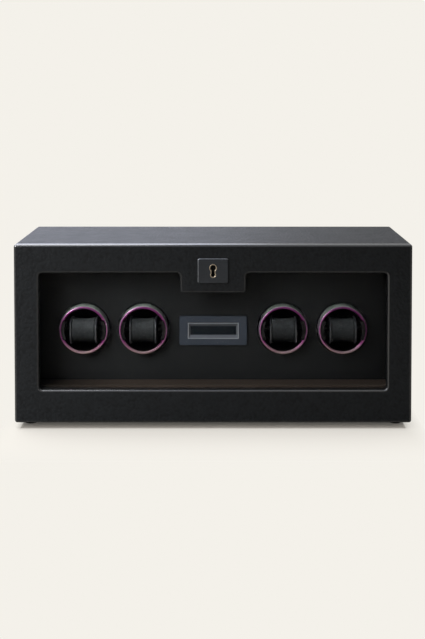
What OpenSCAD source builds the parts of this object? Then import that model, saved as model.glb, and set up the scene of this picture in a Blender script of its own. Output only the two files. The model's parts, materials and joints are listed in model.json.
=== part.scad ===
// Watch winder box for four watches: a leather-covered case with a drop-down glazed door,
// four motor-driven rotors behind it and a display between them.
// Millimetres. The origin is the centre of the footprint, on the surface that the feet
// stand on. +Z is up and the door faces -Y.

/* [Case] */
// Outside width of the case and the door
case_w = 660; // [640:1:760]
// Outside height of the case and the door, without the feet
case_h = 298; // [288:1:340]
// Depth of the case behind the door
case_d = 205; // [190:1:260]
// Thickness of the leather-covered boards
board_t = 14; // [12:0.5:16]
// Radius on the outer edges of the case and the door
edge_r = 4.2; // [2:0.1:6]
// Thickness of the back panel
back_t = 8; // [5:0.5:10]
// Width of the rebate that holds the back panel
rebate_w = 8; // [7:0.5:9]

/* [Feet] */
// Height of the rubber feet
foot_h = 9; // [8:0.5:14]
// Diameter of a foot where it meets the case
foot_d = 30; // [22:1:34]
// Distance from the case's side to the centre of a foot
foot_inset_x = 22; // [18:0.5:60]
// Distance from the case's front or back to the centre of a foot
foot_inset_y = 21; // [18:0.5:60]

/* [Door] */
// Thickness of the door
door_t = 14; // [13:0.5:16]
// Gap between the closed door and the case
door_gap = 1; // [0.8:0.1:2]
// Width of the door's left and right stiles
stile_w = 41; // [30:1:60]
// Height of the door's top rail
top_rail_h = 47.5; // [44:0.5:54]
// Height of the door's bottom rail
bottom_rail_h = 55.5; // [44:0.5:60]
// Width of the tab that carries the lock
tab_w = 109; // [90:1:140]
// Height of the tab below the top rail
tab_h = 33; // [24:0.5:40]
// Corner radius of the window and the tab
window_r = 6; // [4:0.5:7]
// Depth of the window's front edge, from the door's face to the glass
reveal = 9; // [6:0.5:9.5]
// Thickness of the glass
glass_t = 3; // [2:0.5:3]
// Width of glass held behind the frame
glass_lap = 4; // [3:0.5:5]

/* [Hinge] */
// Distance from the middle of the door to the middle of a hinge bracket
hinge_x = 250; // [150:5:280]
// Radius of the hinge pins
pin_r = 2; // [1.5:0.1:2.5]
// Radius of the eye at the end of a hinge bracket
eye_r = 4.6; // [4:0.1:5]
// Width of the hinge bracket's arm
arm_w = 12; // [8:1:20]

/* [Lock] */
// Width of the lock's front plate
plate_w = 50.5; // [46:0.5:60]
// Height of the lock's front plate
plate_h = 41; // [38:1:43]
// Thickness of the front plate, which stands proud of the door
plate_t = 3; // [2:0.5:4]
// Distance from the top of the door to the middle of the front plate
plate_drop = 43.4; // [40:0.2:46]
// Height of the keyhole's round end above the middle of the front plate
key_rise = 5.2; // [4:0.2:7]
// Radius of the keyhole's round end
key_r = 4; // [3:0.25:4.5]
// Width of the keyhole's slot
key_slot_w = 5.6; // [4.5:0.2:6]
// Distance from the middle of the round end to the bottom of the slot
key_slot_l = 14.6; // [12:0.2:15]
// Radius of the hub that the key turns
hub_r = 17.5; // [16.5:0.1:18.5]

/* [Rotors] */
// Distance between the two rotors of a pair
rotor_pitch = 100.8; // [96:0.2:110]
// Distance from the middle of the case to the middle of a pair
pair_x = 169; // [160:0.1:180]
// Height of the rotors' centres above the deck
rotor_rise = 88; // [80:0.5:95]
// Radius of the clear opening in a bezel ring
ring_clear_r = 36.5; // [35.5:0.5:37]
// Outer radius of a bezel ring at its front edge
ring_front_r = 41.5; // [41:0.1:42]
// Outer radius of a bezel ring where it enters the panel
ring_base_r = 42.5; // [42.2:0.1:44]
// Distance that a bezel ring stands in front of the panel
ring_proud = 16; // [13:0.5:20]
// Inner radius of a rotor cup
cup_r = 37.5; // [37.5:0.1:38.5]
// Wall of a rotor cup
cup_wall = 2.5; // [2:0.1:2.9]
// Depth of a rotor cup behind the panel's front face
cup_depth = 64; // [60:1:72]

/* [Cushions] */
// Length of a watch cushion, from side to side
cushion_w = 45.5; // [40:0.5:50]
// Radius of a watch cushion at its rims
cushion_r = 24; // [22:0.1:25]
// How far the cushion's middle is drawn in
cushion_waist = 2.8; // [0.8:0.1:3.4]
// Distance that a cushion stands in front of the ring's front edge
cushion_stand = 5; // [0:0.5:6]

/* [Inside] */
// Distance from the case's front edge to the rotor panel
panel_setback = 35; // [33:1:40]
// Thickness of the rotor panel
panel_t = 6; // [4:0.5:8]
// Height of the deck in front of the panel, above the bottom of the case
deck_h = 59; // [50:0.5:62]
// Thickness of the deck
deck_t = 4; // [3:0.5:6]
// Distance from the panel's back to the chassis plate
chassis_gap = 70; // [70:1:80]
// Thickness of the chassis plate
chassis_t = 4; // [3:0.5:5]

/* [Display] */
// Width of the display's surround
bezel_w = 115; // [104:1:130]
// Height of the display's surround
bezel_h = 50; // [42:1:60]
// Distance from the rotors' centre line down to the display's
display_drop = 3.5; // [0:0.5:12]
// Thickness of the display's surround, in front of the panel
bezel_t = 3; // [2.5:0.5:5]
// Width of the display's clear window
screen_w = 77.8; // [60:0.2:80]
// Height of the display's clear window
screen_h = 15; // [12:0.2:20]

/* [Drive] */
// Module of the gears
gear_module = 1.5; // [1.5:0.1:1.6]
// Teeth on a rotor's gear
gear_teeth = 48; // [46:2:48]
// Teeth on a motor's pinion
pinion_teeth = 12; // [12:1:13]
// Face width of the gears
gear_face = 6; // [5:0.5:7]
// Radius of the rotors' spindles
spindle_r = 4; // [3:0.25:5]
// Radius of the motors' shafts
shaft_r = 3; // [2:0.25:3.5]
// Radius of the gearmotors' gearboxes
gearbox_r = 18; // [16:0.5:20]

/* [Hidden] */
$fn = 96;

// Clearances
running = 0.05;     // round a shaft that turns in a bore
sliding = 0.4;      // beside pieces that slide or swing past each other
eps = 1;            // how far a cut runs past the face it starts from

// Case
front_y = -(door_t + door_gap + case_d) / 2;
door_back_y = front_y + door_t;
case_y = door_back_y + door_gap;
back_y = case_y + case_d;
base_z = foot_h;
top_z = base_z + case_h;
mid_z = base_z + case_h / 2;
inner_w = case_w - 2 * board_t;
floor_z = base_z + board_t;
ceiling_z = top_z - board_t;
inner_h = ceiling_z - floor_z;
back_panel_w = inner_w + 2 * rebate_w;
back_panel_h = inner_h + 2 * rebate_w;
back_panel_y = back_y - back_t;

// Screws: one wood screw and one machine screw are used throughout
wood_head_r = 3;
wood_shank_r = 1.5;
wood_head_h = 1.8;
wood_len = 14;
chassis_head_r = 2.75;
chassis_head_h = 2;
chassis_shank_r = 1.5;
chassis_len = 12;
lock_screw_r = 1.4;
lock_screw_head_r = 2.6;
lock_screw_len = 8;

// Feet
foot_x = case_w / 2 - foot_inset_x;
foot_front_y = case_y + foot_inset_y;
foot_back_y = back_y - foot_inset_y;
foot_tip_r = foot_d / 2 - 2;    // near the floor
foot_edge_r = 2;                // bevel round the tip
foot_recess_r = 4.5;
foot_seat = 3.5;                // rubber left under the screw's head
foot_seat_z = base_z - foot_seat;
FEET = [for (x = [-foot_x, foot_x], y = [foot_front_y, foot_back_y]) [x, y]];

// Door
window_w = case_w - 2 * stile_w;
window_top_z = top_z - top_rail_h;
window_bottom_z = base_z + bottom_rail_h;
window_h = window_top_z - window_bottom_z;
window_z = (window_top_z + window_bottom_z) / 2;
glass_y = front_y + reveal;
bead_y = glass_y + glass_t;

// Hinge: the pivot is the centre of the door's rounded bottom edge
pivot_r = door_t / 2;
pivot_y = door_back_y - pivot_r;
pivot_z = base_z + pivot_r;
arm_h = 5;
leaf_t = 2;
leaf_w = 46;
leaf_h = board_t - 3;
leaf_screw_x = 16;
pin_grip = 11;              // of the pin in the door, beside the bracket's arm
pin_len = arm_w + 2 * pin_grip;
HINGES = [-hinge_x, hinge_x];

// Lock
plate_z = top_z - plate_drop;
key_z = plate_z + key_rise;
plate_corner_r = 3.2;
liner_wall = 2;
liner_bevel = 1.6;
liner_lip = 0.2;
hub_bore_wall = 0.7;        // between the hub and the hole in the door
hub_front_y = front_y + 0.8;
lock_case_t = 8;
lock_case_side = 8.5;       // beside the hub
lock_case_w = 2 * (hub_r + lock_case_side);
lock_case_up = hub_r + 2.5;
lock_case_down = hub_r + 6.5;
lock_back_y = door_back_y + lock_case_t;
hub_floor = 5;              // solid back of the hub behind the keyway
boss_r = 6;
cam_eye_r = boss_r + 3;
strike_t = 1.5;
strike_w = 40;
strike_leaf_d = 14;
strike_y = lock_back_y + 1.5;
cam_y = strike_y + strike_t + 1;
cam_t = 2.5;
cam_w = 9;
cam_reach = ceiling_z - strike_t - key_z - 1.7;
strike_bottom_z = key_z + cam_eye_r + 2;    // the cam's eye passes under it as the door opens
strike_screw_x = 12;
LOCK_SCREWS = [for (x = [-1, 1], z = [lock_case_up - 4, 4 - lock_case_down])
    [x * (lock_case_w / 2 - 3.6), key_z + z]];

// Inside of the case
deck_z = base_z + deck_h;
deck_front_y = case_y + 0.5;
riser_t = 6;
panel_y = case_y + panel_setback;
panel_back_y = panel_y + panel_t;
rotor_z = deck_z + rotor_rise;
ROTORS = [-pair_x - rotor_pitch / 2, -pair_x + rotor_pitch / 2,
          pair_x - rotor_pitch / 2, pair_x + rotor_pitch / 2];

// Rotors
ring_tail = 3;              // part of the ring inside the panel's hole
ring_len = ring_proud + ring_tail;
ring_back_y = panel_y + ring_tail;
ring_front_y = panel_y - ring_proud;
ring_lip = 5;               // from the front edge back to the cup's rim
ring_edge = 1.2;            // rounding of the front edge
panel_hole_r = ring_base_r + 1.8;
cup_outer_r = cup_r + cup_wall;
cup_front_y = ring_front_y + ring_lip;
cup_back_y = panel_y + cup_depth;
cup_floor_t = 3;
notch_h = 34.4;             // height of the ring's two side notches
notch_r = 39.2;
boss_len = 2;
cup_boss_r = 9;
gear_y = cup_back_y + boss_len;
spindle_head_r = spindle_r + 2.5;
spindle_head_t = 2.5;

// Cushions
cushion_y = ring_front_y - cushion_stand + cushion_r;
bar_r = 5;
shoe_r = cup_r - sliding;
shoe_t = 3.6;
shoe_h = 30;
shoe_len = 40;
bead_r = 1.1;               // piping round each end of the cushion

// Drive
gear_pitch_r = gear_module * gear_teeth / 2;
pinion_pitch_r = gear_module * pinion_teeth / 2;
centre_distance = gear_pitch_r + pinion_pitch_r;
pressure_angle = 25;
backlash = 0.3;
chassis_y = panel_back_y + chassis_gap;
chassis_back_y = chassis_y + chassis_t;
post_side = 58;             // from a rotor's centre out to the next post
post_above = 42;            // from the rotors' centre line up to the upper posts
post_below = 17;            // from the motors' centre line down to the lower posts
post_out = rotor_pitch / 2 + post_side;
post_r = 4;
post_flange_r = 8;
post_flange_t = 3;
chassis_w = 2 * (pair_x + post_out + post_flange_r);
chassis_top_z = rotor_z + post_above + post_flange_r + 2;
chassis_bottom_z = rotor_z - centre_distance - gearbox_r - post_flange_r;
bush_r = spindle_r + 3;
bush_flange_r = spindle_r + 5;
bush_flange_t = 2;
bush_len = 12;
bush_back_y = chassis_y + bush_len;
motor_z = rotor_z - centre_distance;
gearbox_len = 22;
motor_can_r = gearbox_r - 4.5;
motor_can_len = 26;
gearbox_back_y = chassis_back_y + gearbox_len;
motor_back_y = gearbox_back_y + motor_can_len;
motor_screw_x = gearbox_r - 5;
shaft_depth = 10;           // of the shaft inside the gearbox
shaft_clear = 2;
pinion_y = gear_y - 0.5;
POSTS = [for (pair = [-pair_x, pair_x], x = [-post_out, 0, post_out],
              z = [rotor_z + post_above, motor_z - post_below]) [pair + x, z]];

// Display
bezel_corner_r = 2.5;
display_z = rotor_z - display_drop;
frame_side = 4.3;           // raised frame beside the window
frame_above = 6.2;          // and above and below it
frame_w = screen_w + 2 * frame_side;
frame_h = screen_h + 2 * frame_above;
frame_proud = 0.8;
frame_edge = 1.2;           // flat left round the raised frame
skin = 0.1;                 // thickness of the slices that a bevel runs between
screen_y = panel_y - 1;
screen_lap = 1;
screen_t = 1.5;
bezel_tail = 2;             // part of the surround inside the panel's cut-out
panel_slack = 1;            // between that part and the cut-out
board_w = 98;
board_h = 40;
pcb_t = 1.6;
module_side = 3;            // display module beside the window, under the frame
module_above = 4.5;
module_w = screen_w + 2 * module_side;
module_h = screen_h + 2 * module_above;
module_y = screen_y + screen_t;
board_y = panel_back_y + 1.5;

// Controller and power
controller_w = 96;
controller_h = 60;
spacer_r = 3;
spacer_in = 4;              // from a board's edge to its spacers
spacer_len = 10;
controller_y = chassis_back_y + spacer_len;
// Parts on the controller board: lower left corner in X and Z, then the size
CONTROLLER_PARTS = [
    [[-40, 8], [26, 14, 18]],       // motor connector
    [[8, -8], [20, 3, 20]],         // processor
];
inlet_side = 80;            // from the case's side
inlet_rise = 40;            // above the case's bottom
inlet_x = case_w / 2 - inlet_side;
inlet_z = base_z + inlet_rise;
inlet_r = 6;
inlet_flange_r = 8.5;
inlet_flange_t = 1.5;
inlet_socket_r = 3.2;
inlet_face_y = back_y + inlet_flange_t;
inlet_socket_d = 9;
inlet_socket_y = inlet_face_y - inlet_socket_d;      // bottom of the socket
inlet_pin_r = 1.05;
inlet_len = 14;
loom_r = 2.5;
wire_r = 1.4;
loom_y = motor_back_y + 6;
loom_drop = 12;             // below the gearboxes
loom_z = motor_z - gearbox_r - loom_drop;
display_cable_r = 2;
cable_hole_r = 7;
wire_end = 12;              // of the controller's lead, past the board's edge

// ---------------------------------------------------------------- helpers

// A flat shape in X and Z, made solid from y0 to y1
module along_y(y0, y1) translate([0, y1, 0]) rotate([90, 0, 0]) linear_extrude(y1 - y0) children();

// A flat shape in Y and Z, made solid from x0 to x1
module along_x(x0, x1) translate([x0, 0, 0]) rotate([90, 0, 90]) linear_extrude(x1 - x0) children();

// A round bar along Y whose axis passes through x and z
module rod_y(r, y0, y1, x = 0, z = 0) translate([x, y0, z]) rotate([-90, 0, 0]) cylinder(r = r, h = y1 - y0);

// A round bar along X whose axis passes through y and z
module rod_x(r, x0, x1, y = 0, z = 0) translate([x0, y, z]) rotate([0, 90, 0]) cylinder(r = r, h = x1 - x0);

// A round bar along Z whose axis passes through x and y
module rod_z(r, z0, z1, x = 0, y = 0) translate([x, y, z0]) cylinder(r = r, h = z1 - z0);

// A box given by its two corners
module block(a, b) translate(a) cube(b - a);

module rounded_rect(w, h, r) {
    square([w - 2 * r, h], center = true);
    square([w, h - 2 * r], center = true);
    for (x = [-1, 1], y = [-1, 1])
        translate([x * (w / 2 - r), y * (h / 2 - r)]) circle(r);
}

// What a rounded corner leaves of a square; the square's sharp corner is at the origin
module corner_waste(r) difference() {
    translate([-eps, -eps]) square(r + eps);
    translate([r, r]) circle(r);
}

// Outline of the case and the door, seen from the front
module case_outline() translate([0, mid_z]) rounded_rect(case_w, case_h, edge_r);

// The tab, with its rounded corners and the fillets where it joins the top rail
module tab_outline(shrink) {
    w = tab_w - 2 * shrink;
    r = max(window_r - shrink, 1);
    fillet = window_r + shrink;
    edge_z = window_top_z + shrink;
    bottom_z = window_top_z - tab_h + shrink;
    translate([0, (bottom_z + edge_z + 2 * fillet) / 2]) rounded_rect(w, edge_z + 2 * fillet - bottom_z, r);
    for (side = [0, 1]) mirror([side, 0]) translate([w / 2, edge_z]) mirror([0, 1])
        corner_waste(fillet);
}

// The window's outline, larger all round by grow
module window_outline(grow = 0) difference() {
    translate([0, window_z]) rounded_rect(window_w + 2 * grow, window_h + 2 * grow, window_r + grow);
    tab_outline(grow);
}

// A keyhole whose round end is at the origin, larger all round by grow
module keyhole(grow = 0) {
    slot_r = key_slot_w / 2 + grow;
    end = key_slot_l - key_slot_w / 2;
    circle(key_r + grow);
    translate([-slot_r, -end]) square([2 * slot_r, end]);
    translate([0, -end]) circle(slot_r);
}

// A wood screw along +Y from its head's face at the origin; margin widens it to a hole
module wood_screw(margin = 0) rotate([-90, 0, 0]) {
    cylinder(r1 = wood_head_r, r2 = wood_shank_r, h = wood_head_h);
    cylinder(r = wood_shank_r, h = wood_len + margin);
}

// A machine screw whose head sits on the plane y = 0 and whose shank runs along +Y
module chassis_screw() {
    rod_y(chassis_head_r, -chassis_head_h, 0);
    rod_y(chassis_shank_r, 0, chassis_len);
}

// Where the wood screws go: back panel, feet, strike plate and hinge brackets
module at_wood_screws() {
    edge = rebate_w / 2;
    for (x = [-1, 0, 1], z = [-1, 1])
        translate([x * (back_panel_w / 2 - 3 * rebate_w), back_y, mid_z + z * (back_panel_h / 2 - edge)])
            rotate([0, 0, 180]) children();
    for (x = [-1, 1], z = [-1, 1])
        translate([x * (back_panel_w / 2 - edge), back_y, mid_z + z * back_panel_h / 4])
            rotate([0, 0, 180]) children();
    for (f = FEET) translate([f[0], f[1], foot_seat_z]) rotate([90, 0, 0]) children();
    for (x = [-strike_screw_x, strike_screw_x])
        translate([x, strike_y + strike_leaf_d / 2 + 1, ceiling_z - strike_t]) rotate([90, 0, 0]) children();
    for (h = HINGES, x = [-leaf_screw_x, leaf_screw_x])
        translate([h + x, case_y, base_z + board_t / 2]) children();
}

// ---------------------------------------------------------------- gears

function involute(a) = tan(a) * 180 / PI - a;
function flank_half(r, pitch_r, teeth) =
    let (base_r = pitch_r * cos(pressure_angle))
    90 / teeth - backlash / 2 / pitch_r * 180 / PI / 2
        + involute(pressure_angle) - involute(acos(base_r / max(r, base_r)));
function gear_points(teeth, first) =
    let (pitch_r = gear_module * teeth / 2,
         radii = [pitch_r - 1.25 * gear_module, pitch_r - 0.5 * gear_module, pitch_r,
                  pitch_r + 0.5 * gear_module, pitch_r + 0.9 * gear_module])
    [for (i = [0:teeth - 1], side = [-1, 1], k = [0:4])
        let (r = radii[side < 0 ? k : 4 - k],
             a = first + i * 360 / teeth + side * flank_half(r, pitch_r, teeth))
        [r * cos(a), r * sin(a)]];

// A spur gear with a tooth at the angle first, seen from the front
module gear_outline(teeth, first) polygon(gear_points(teeth, first));

// ---------------------------------------------------------------- case

module back_panel_space() translate([0, mid_z]) square([back_panel_w, back_panel_h], center = true);

module case_shell() difference() {
    along_y(case_y, back_y) case_outline();
    along_y(back_panel_y, back_y + eps) back_panel_space();
    at_wood_screws() wood_screw();
}

module top_panel() color([0.13, 0.135, 0.145]) intersection() {
    case_shell();
    block([-case_w, case_y - eps, ceiling_z], [case_w, back_y + eps, top_z + eps]);
}

module bottom_panel() color([0.13, 0.135, 0.145]) difference() {
    intersection() {
        case_shell();
        block([-case_w, case_y - eps, base_z - eps], [case_w, back_y + eps, floor_z]);
    }
    for (h = HINGES) translate([h, 0, 0]) hinge_leaf();
}

module side_panel(side) color([0.13, 0.135, 0.145]) intersection() {
    case_shell();
    x0 = side < 0 ? -case_w / 2 - eps : inner_w / 2;
    x1 = side < 0 ? -inner_w / 2 : case_w / 2 + eps;
    block([x0, case_y - eps, floor_z], [x1, back_y + eps, ceiling_z]);
}

module back_panel() color([0.1, 0.1, 0.105]) difference() {
    along_y(back_panel_y, back_y) back_panel_space();
    at_wood_screws() wood_screw();
    rod_y(inlet_r, back_panel_y - eps, back_y + eps, inlet_x, inlet_z);
}

module rotor_panel() color([0.09, 0.092, 0.095]) difference() {
    block([-inner_w / 2, panel_y, floor_z], [inner_w / 2, panel_back_y, ceiling_z]);
    for (x = ROTORS) rod_y(panel_hole_r, panel_y - eps, panel_back_y + eps, x, rotor_z);
    centre_block(frame_w + 2 * panel_slack, frame_h + 2 * panel_slack, panel_y - eps, panel_back_y + eps);
}

module deck_board() color([0.12, 0.1, 0.09]) {
    block([-inner_w / 2, deck_front_y, deck_z - deck_t], [inner_w / 2, panel_y, deck_z]);
    block([-inner_w / 2, deck_front_y, floor_z], [inner_w / 2, deck_front_y + riser_t, deck_z - deck_t]);
}

module rubber_feet() color([0.03, 0.03, 0.03])
    for (f = FEET) translate([f[0], f[1], 0]) difference() {
        union() {
            translate([0, 0, foot_edge_r])
                cylinder(r1 = foot_tip_r, r2 = foot_d / 2, h = foot_h - foot_edge_r);
            cylinder(r1 = foot_tip_r - foot_edge_r, r2 = foot_tip_r, h = foot_edge_r);
        }
        translate([0, 0, -eps]) cylinder(r = foot_recess_r, h = foot_seat_z + eps);
        translate([0, 0, foot_seat_z]) rotate([90, 0, 0]) wood_screw();
    }

module wood_screws() color([0.55, 0.55, 0.57]) at_wood_screws() wood_screw();

module strike_plate() color([0.6, 0.6, 0.62]) difference() {
    union() {
        block([-strike_w / 2, strike_y, ceiling_z - strike_t],
              [strike_w / 2, strike_y + strike_leaf_d, ceiling_z]);
        block([-strike_w / 2, strike_y, strike_bottom_z], [strike_w / 2, strike_y + strike_t, ceiling_z]);
    }
    at_wood_screws() wood_screw();
}

// ---------------------------------------------------------------- hinge

module hinge_leaf() block([-leaf_w / 2, case_y, base_z + (board_t - leaf_h) / 2],
                          [leaf_w / 2, case_y + leaf_t, base_z + (board_t + leaf_h) / 2]);

module hinge_brackets() color([0.5, 0.5, 0.52]) difference() {
    for (h = HINGES) translate([h, 0, 0]) difference() {
        union() {
            hinge_leaf();
            block([-arm_w / 2, pivot_y, pivot_z - arm_h / 2], [arm_w / 2, case_y, pivot_z + arm_h / 2]);
            rod_x(eye_r, -arm_w / 2, arm_w / 2, pivot_y, pivot_z);
        }
        rod_x(pin_r + running, -arm_w, arm_w, pivot_y, pivot_z);
    }
    at_wood_screws() wood_screw();
}

module hinge_pins() color([0.62, 0.62, 0.64])
    for (h = HINGES) rod_x(pin_r, h - pin_len / 2, h + pin_len / 2, pivot_y, pivot_z);

// Room in the door for a bracket's eye and arm, over the whole swing
module hinge_mortise() along_x(-arm_w / 2 - sliding, arm_w / 2 + sliding) {
    reach = arm_h / 2 + sliding;
    translate([pivot_y - reach, base_z - eps])
        square([door_back_y + eps - pivot_y + reach, pivot_z + reach - base_z + eps]);
    translate([pivot_y, pivot_z]) circle(eye_r + sliding);
}

// ---------------------------------------------------------------- door

// The door from the side: rounded at the front, and round the pivot at the bottom back
module door_side() difference() {
    translate([front_y, base_z]) square([door_t, case_h]);
    translate([front_y, base_z]) corner_waste(edge_r);
    translate([front_y, top_z]) mirror([0, 1]) corner_waste(edge_r);
    translate([door_back_y, base_z]) mirror([1, 0]) corner_waste(pivot_r);
}

// The door from above: rounded at the front
module door_plan() difference() {
    translate([-case_w / 2, front_y]) square([case_w, door_t]);
    for (side = [0, 1]) mirror([side, 0]) translate([-case_w / 2, front_y]) corner_waste(edge_r);
}

module door_frame() color([0.13, 0.135, 0.145]) difference() {
    intersection() {
        along_y(front_y, door_back_y) case_outline();
        along_x(-case_w / 2, case_w / 2) door_side();
        translate([0, 0, base_z]) linear_extrude(case_h) door_plan();
    }
    along_y(front_y - eps, glass_y + eps) window_outline();
    along_y(glass_y, door_back_y + eps) window_outline(glass_lap);
    rod_y(hub_r + hub_bore_wall, front_y + 0.6, door_back_y + eps, 0, key_z);
    along_y(front_y - eps, front_y + eps) translate([0, key_z]) keyhole(liner_wall);
    for (h = HINGES) {
        translate([h, 0, 0]) hinge_mortise();
        rod_x(pin_r, h - pin_len / 2, h + pin_len / 2, pivot_y, pivot_z);
    }
    for (s = LOCK_SCREWS) rod_y(lock_screw_r, lock_back_y - lock_screw_len, door_back_y + eps, s[0], s[1]);
}

module door_glass() color([0.75, 0.8, 0.8, 0.3]) along_y(glass_y, bead_y) window_outline(glass_lap);

module glazing_bead() color([0.05, 0.05, 0.05]) along_y(bead_y, door_back_y) difference() {
    window_outline(glass_lap);
    window_outline();
}

// ---------------------------------------------------------------- lock

module escutcheon_plate() color([0.2, 0.21, 0.23]) along_y(front_y - plate_t, front_y) difference() {
    translate([0, plate_z]) rounded_rect(plate_w, plate_h, plate_corner_r);
    translate([0, key_z]) keyhole(liner_wall);
}

module keyhole_liner() color([0.72, 0.66, 0.52]) difference() {
    along_y(front_y - plate_t - liner_lip, front_y) translate([0, key_z]) difference() {
        keyhole(liner_wall);
        keyhole();
    }
    translate([0, front_y - plate_t - liner_lip, key_z]) rotate([-90, 0, 0]) {
        cylinder(r1 = key_r + liner_bevel, r2 = key_r, h = liner_bevel);
        hull() for (z = [0, key_slot_l - key_slot_w / 2]) translate([0, z, 0])
            cylinder(r1 = key_slot_w / 2 + liner_bevel, r2 = key_slot_w / 2, h = liner_bevel, $fn = 32);
    }
}

module lock_case() color([0.45, 0.45, 0.47]) difference() {
    block([-lock_case_w / 2, door_back_y, key_z - lock_case_down],
          [lock_case_w / 2, lock_back_y, key_z + lock_case_up]);
    rod_y(hub_r + running, door_back_y - eps, lock_back_y + eps, 0, key_z);
    for (s = LOCK_SCREWS) rod_y(lock_screw_r, door_back_y - eps, lock_back_y + eps, s[0], s[1]);
}

module lock_screws() color([0.55, 0.55, 0.57]) for (s = LOCK_SCREWS) {
    rod_y(lock_screw_r, lock_back_y - lock_screw_len, lock_back_y, s[0], s[1]);
    rod_y(lock_screw_head_r, lock_back_y, lock_back_y + 1.2, s[0], s[1]);
}

module lock_hub() color([0.12, 0.12, 0.12]) difference() {
    union() {
        rod_y(hub_r, hub_front_y, lock_back_y, 0, key_z);
        rod_y(boss_r, lock_back_y, cam_y + cam_t, 0, key_z);
    }
    along_y(hub_front_y - eps, lock_back_y - hub_floor) translate([0, key_z]) keyhole();
}

module lock_cam() color([0.6, 0.6, 0.62]) translate([0, 0, key_z]) difference() {
    union() {
        rod_y(cam_eye_r, cam_y, cam_y + cam_t);
        block([0, cam_y, -cam_w / 2], [cam_reach, cam_y + cam_t, cam_w / 2]);
    }
    rod_y(boss_r, cam_y - eps, cam_y + cam_t + eps);
}

// ---------------------------------------------------------------- display

// A block from y0 to y1, centred on the display
module centre_block(w, h, y0, y1) block([-w / 2, y0, display_z - h / 2], [w / 2, y1, display_z + h / 2]);

// A screen-shaped hole that widens towards the front, as far as the raised frame's edge
module screen_bevel() {
    front = panel_y - bezel_t - frame_proud;
    hull() {
        centre_block(frame_w - 2 * frame_edge, frame_h - 2 * frame_edge, front - skin, front);
        centre_block(screen_w, screen_h, screen_y - skin, screen_y);
    }
}

module display_bezel() color([0.2, 0.215, 0.25]) difference() {
    union() {
        along_y(panel_y - bezel_t, panel_y)
            translate([0, display_z]) rounded_rect(bezel_w, bezel_h, bezel_corner_r);
        centre_block(frame_w, frame_h, panel_y - bezel_t - frame_proud, panel_y + bezel_tail);
    }
    screen_bevel();
    centre_block(module_w + 2 * sliding, module_h + 2 * sliding, screen_y, panel_y + bezel_tail + eps);
}

module display_window() color([0.05, 0.08, 0.1]) centre_block(module_w, module_h, screen_y, module_y);

module display_board() color([0.1, 0.3, 0.15]) {
    centre_block(module_w, module_h, module_y, board_y);
    centre_block(board_w, board_h, board_y, board_y + pcb_t);
    corner_spacers(board_w, board_h, panel_back_y, board_y);
}

// Four spacers near the corners of a circuit board
module corner_spacers(w, h, y0, y1) for (x = [-1, 1], z = [-1, 1])
    rod_y(spacer_r, y0, y1, x * (w / 2 - spacer_in), display_z + z * (h / 2 - spacer_in));

// ---------------------------------------------------------------- chassis and drive

module chassis_plate() color([0.7, 0.7, 0.72]) difference() {
    block([-chassis_w / 2, chassis_y, chassis_bottom_z], [chassis_w / 2, chassis_back_y, chassis_top_z]);
    for (x = ROTORS) {
        rod_y(bush_r, chassis_y - eps, chassis_back_y + eps, x, rotor_z);
        rod_y(shaft_r + shaft_clear, chassis_y - eps, chassis_back_y + eps, x, motor_z);
        for (s = [-motor_screw_x, motor_screw_x])
            rod_y(chassis_shank_r, chassis_y - eps, chassis_back_y + eps, x + s, motor_z);
    }
    for (p = POSTS) rod_y(chassis_shank_r, chassis_y - eps, chassis_back_y + eps, p[0], p[1]);
    rod_y(cable_hole_r, chassis_y - eps, chassis_back_y + eps, 0, display_z);
}

module chassis_posts() color([0.75, 0.75, 0.75]) for (p = POSTS) difference() {
    union() {
        rod_y(post_r, panel_back_y, chassis_y, p[0], p[1]);
        rod_y(post_flange_r, panel_back_y, panel_back_y + post_flange_t, p[0], p[1]);
    }
    rod_y(chassis_shank_r, chassis_back_y - chassis_len, chassis_y + eps, p[0], p[1]);
}

module chassis_screws() color([0.6, 0.6, 0.62]) {
    for (p = POSTS) translate([p[0], chassis_back_y, p[1]]) mirror([0, 1, 0]) chassis_screw();
    for (x = ROTORS, s = [-motor_screw_x, motor_screw_x])
        translate([x + s, chassis_y, motor_z]) chassis_screw();
}

module spindle_bushes() color([0.75, 0.62, 0.35]) for (x = ROTORS) difference() {
    union() {
        rod_y(bush_flange_r, chassis_y - bush_flange_t, chassis_y, x, rotor_z);
        rod_y(bush_r, chassis_y, bush_back_y, x, rotor_z);
    }
    rod_y(spindle_r + running, chassis_y - bush_flange_t - eps, bush_back_y + eps, x, rotor_z);
}

module gearmotors() color([0.65, 0.65, 0.67]) for (x = ROTORS) difference() {
    union() {
        rod_y(gearbox_r, chassis_back_y, gearbox_back_y, x, motor_z);
        rod_y(motor_can_r, gearbox_back_y, motor_back_y, x, motor_z);
    }
    rod_y(shaft_r + running, chassis_back_y - eps, chassis_back_y + shaft_depth + 0.5, x, motor_z);
    for (s = [-motor_screw_x, motor_screw_x])
        rod_y(chassis_shank_r, chassis_back_y - eps, chassis_y + chassis_len, x + s, motor_z);
}

module motor_pinion(x) color([0.85, 0.85, 0.82]) {
    along_y(pinion_y, pinion_y + gear_face + 1) translate([x, motor_z]) gear_outline(pinion_teeth, 90);
    rod_y(shaft_r, pinion_y, chassis_back_y + shaft_depth, x, motor_z);
}

module drive_gear(x) color([0.9, 0.9, 0.87]) difference() {
    along_y(gear_y, gear_y + gear_face)
        translate([x, rotor_z]) gear_outline(gear_teeth, -90 + 180 / gear_teeth);
    rod_y(spindle_r, gear_y - eps, gear_y + gear_face + eps, x, rotor_z);
}

module spindle(x) color([0.72, 0.72, 0.74]) {
    rod_y(spindle_r, cup_back_y - cup_floor_t, bush_back_y + 0.5, x, rotor_z);
    rod_y(spindle_head_r, bush_back_y + 0.5, bush_back_y + 0.5 + spindle_head_t, x, rotor_z);
}

// ---------------------------------------------------------------- rotors

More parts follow.
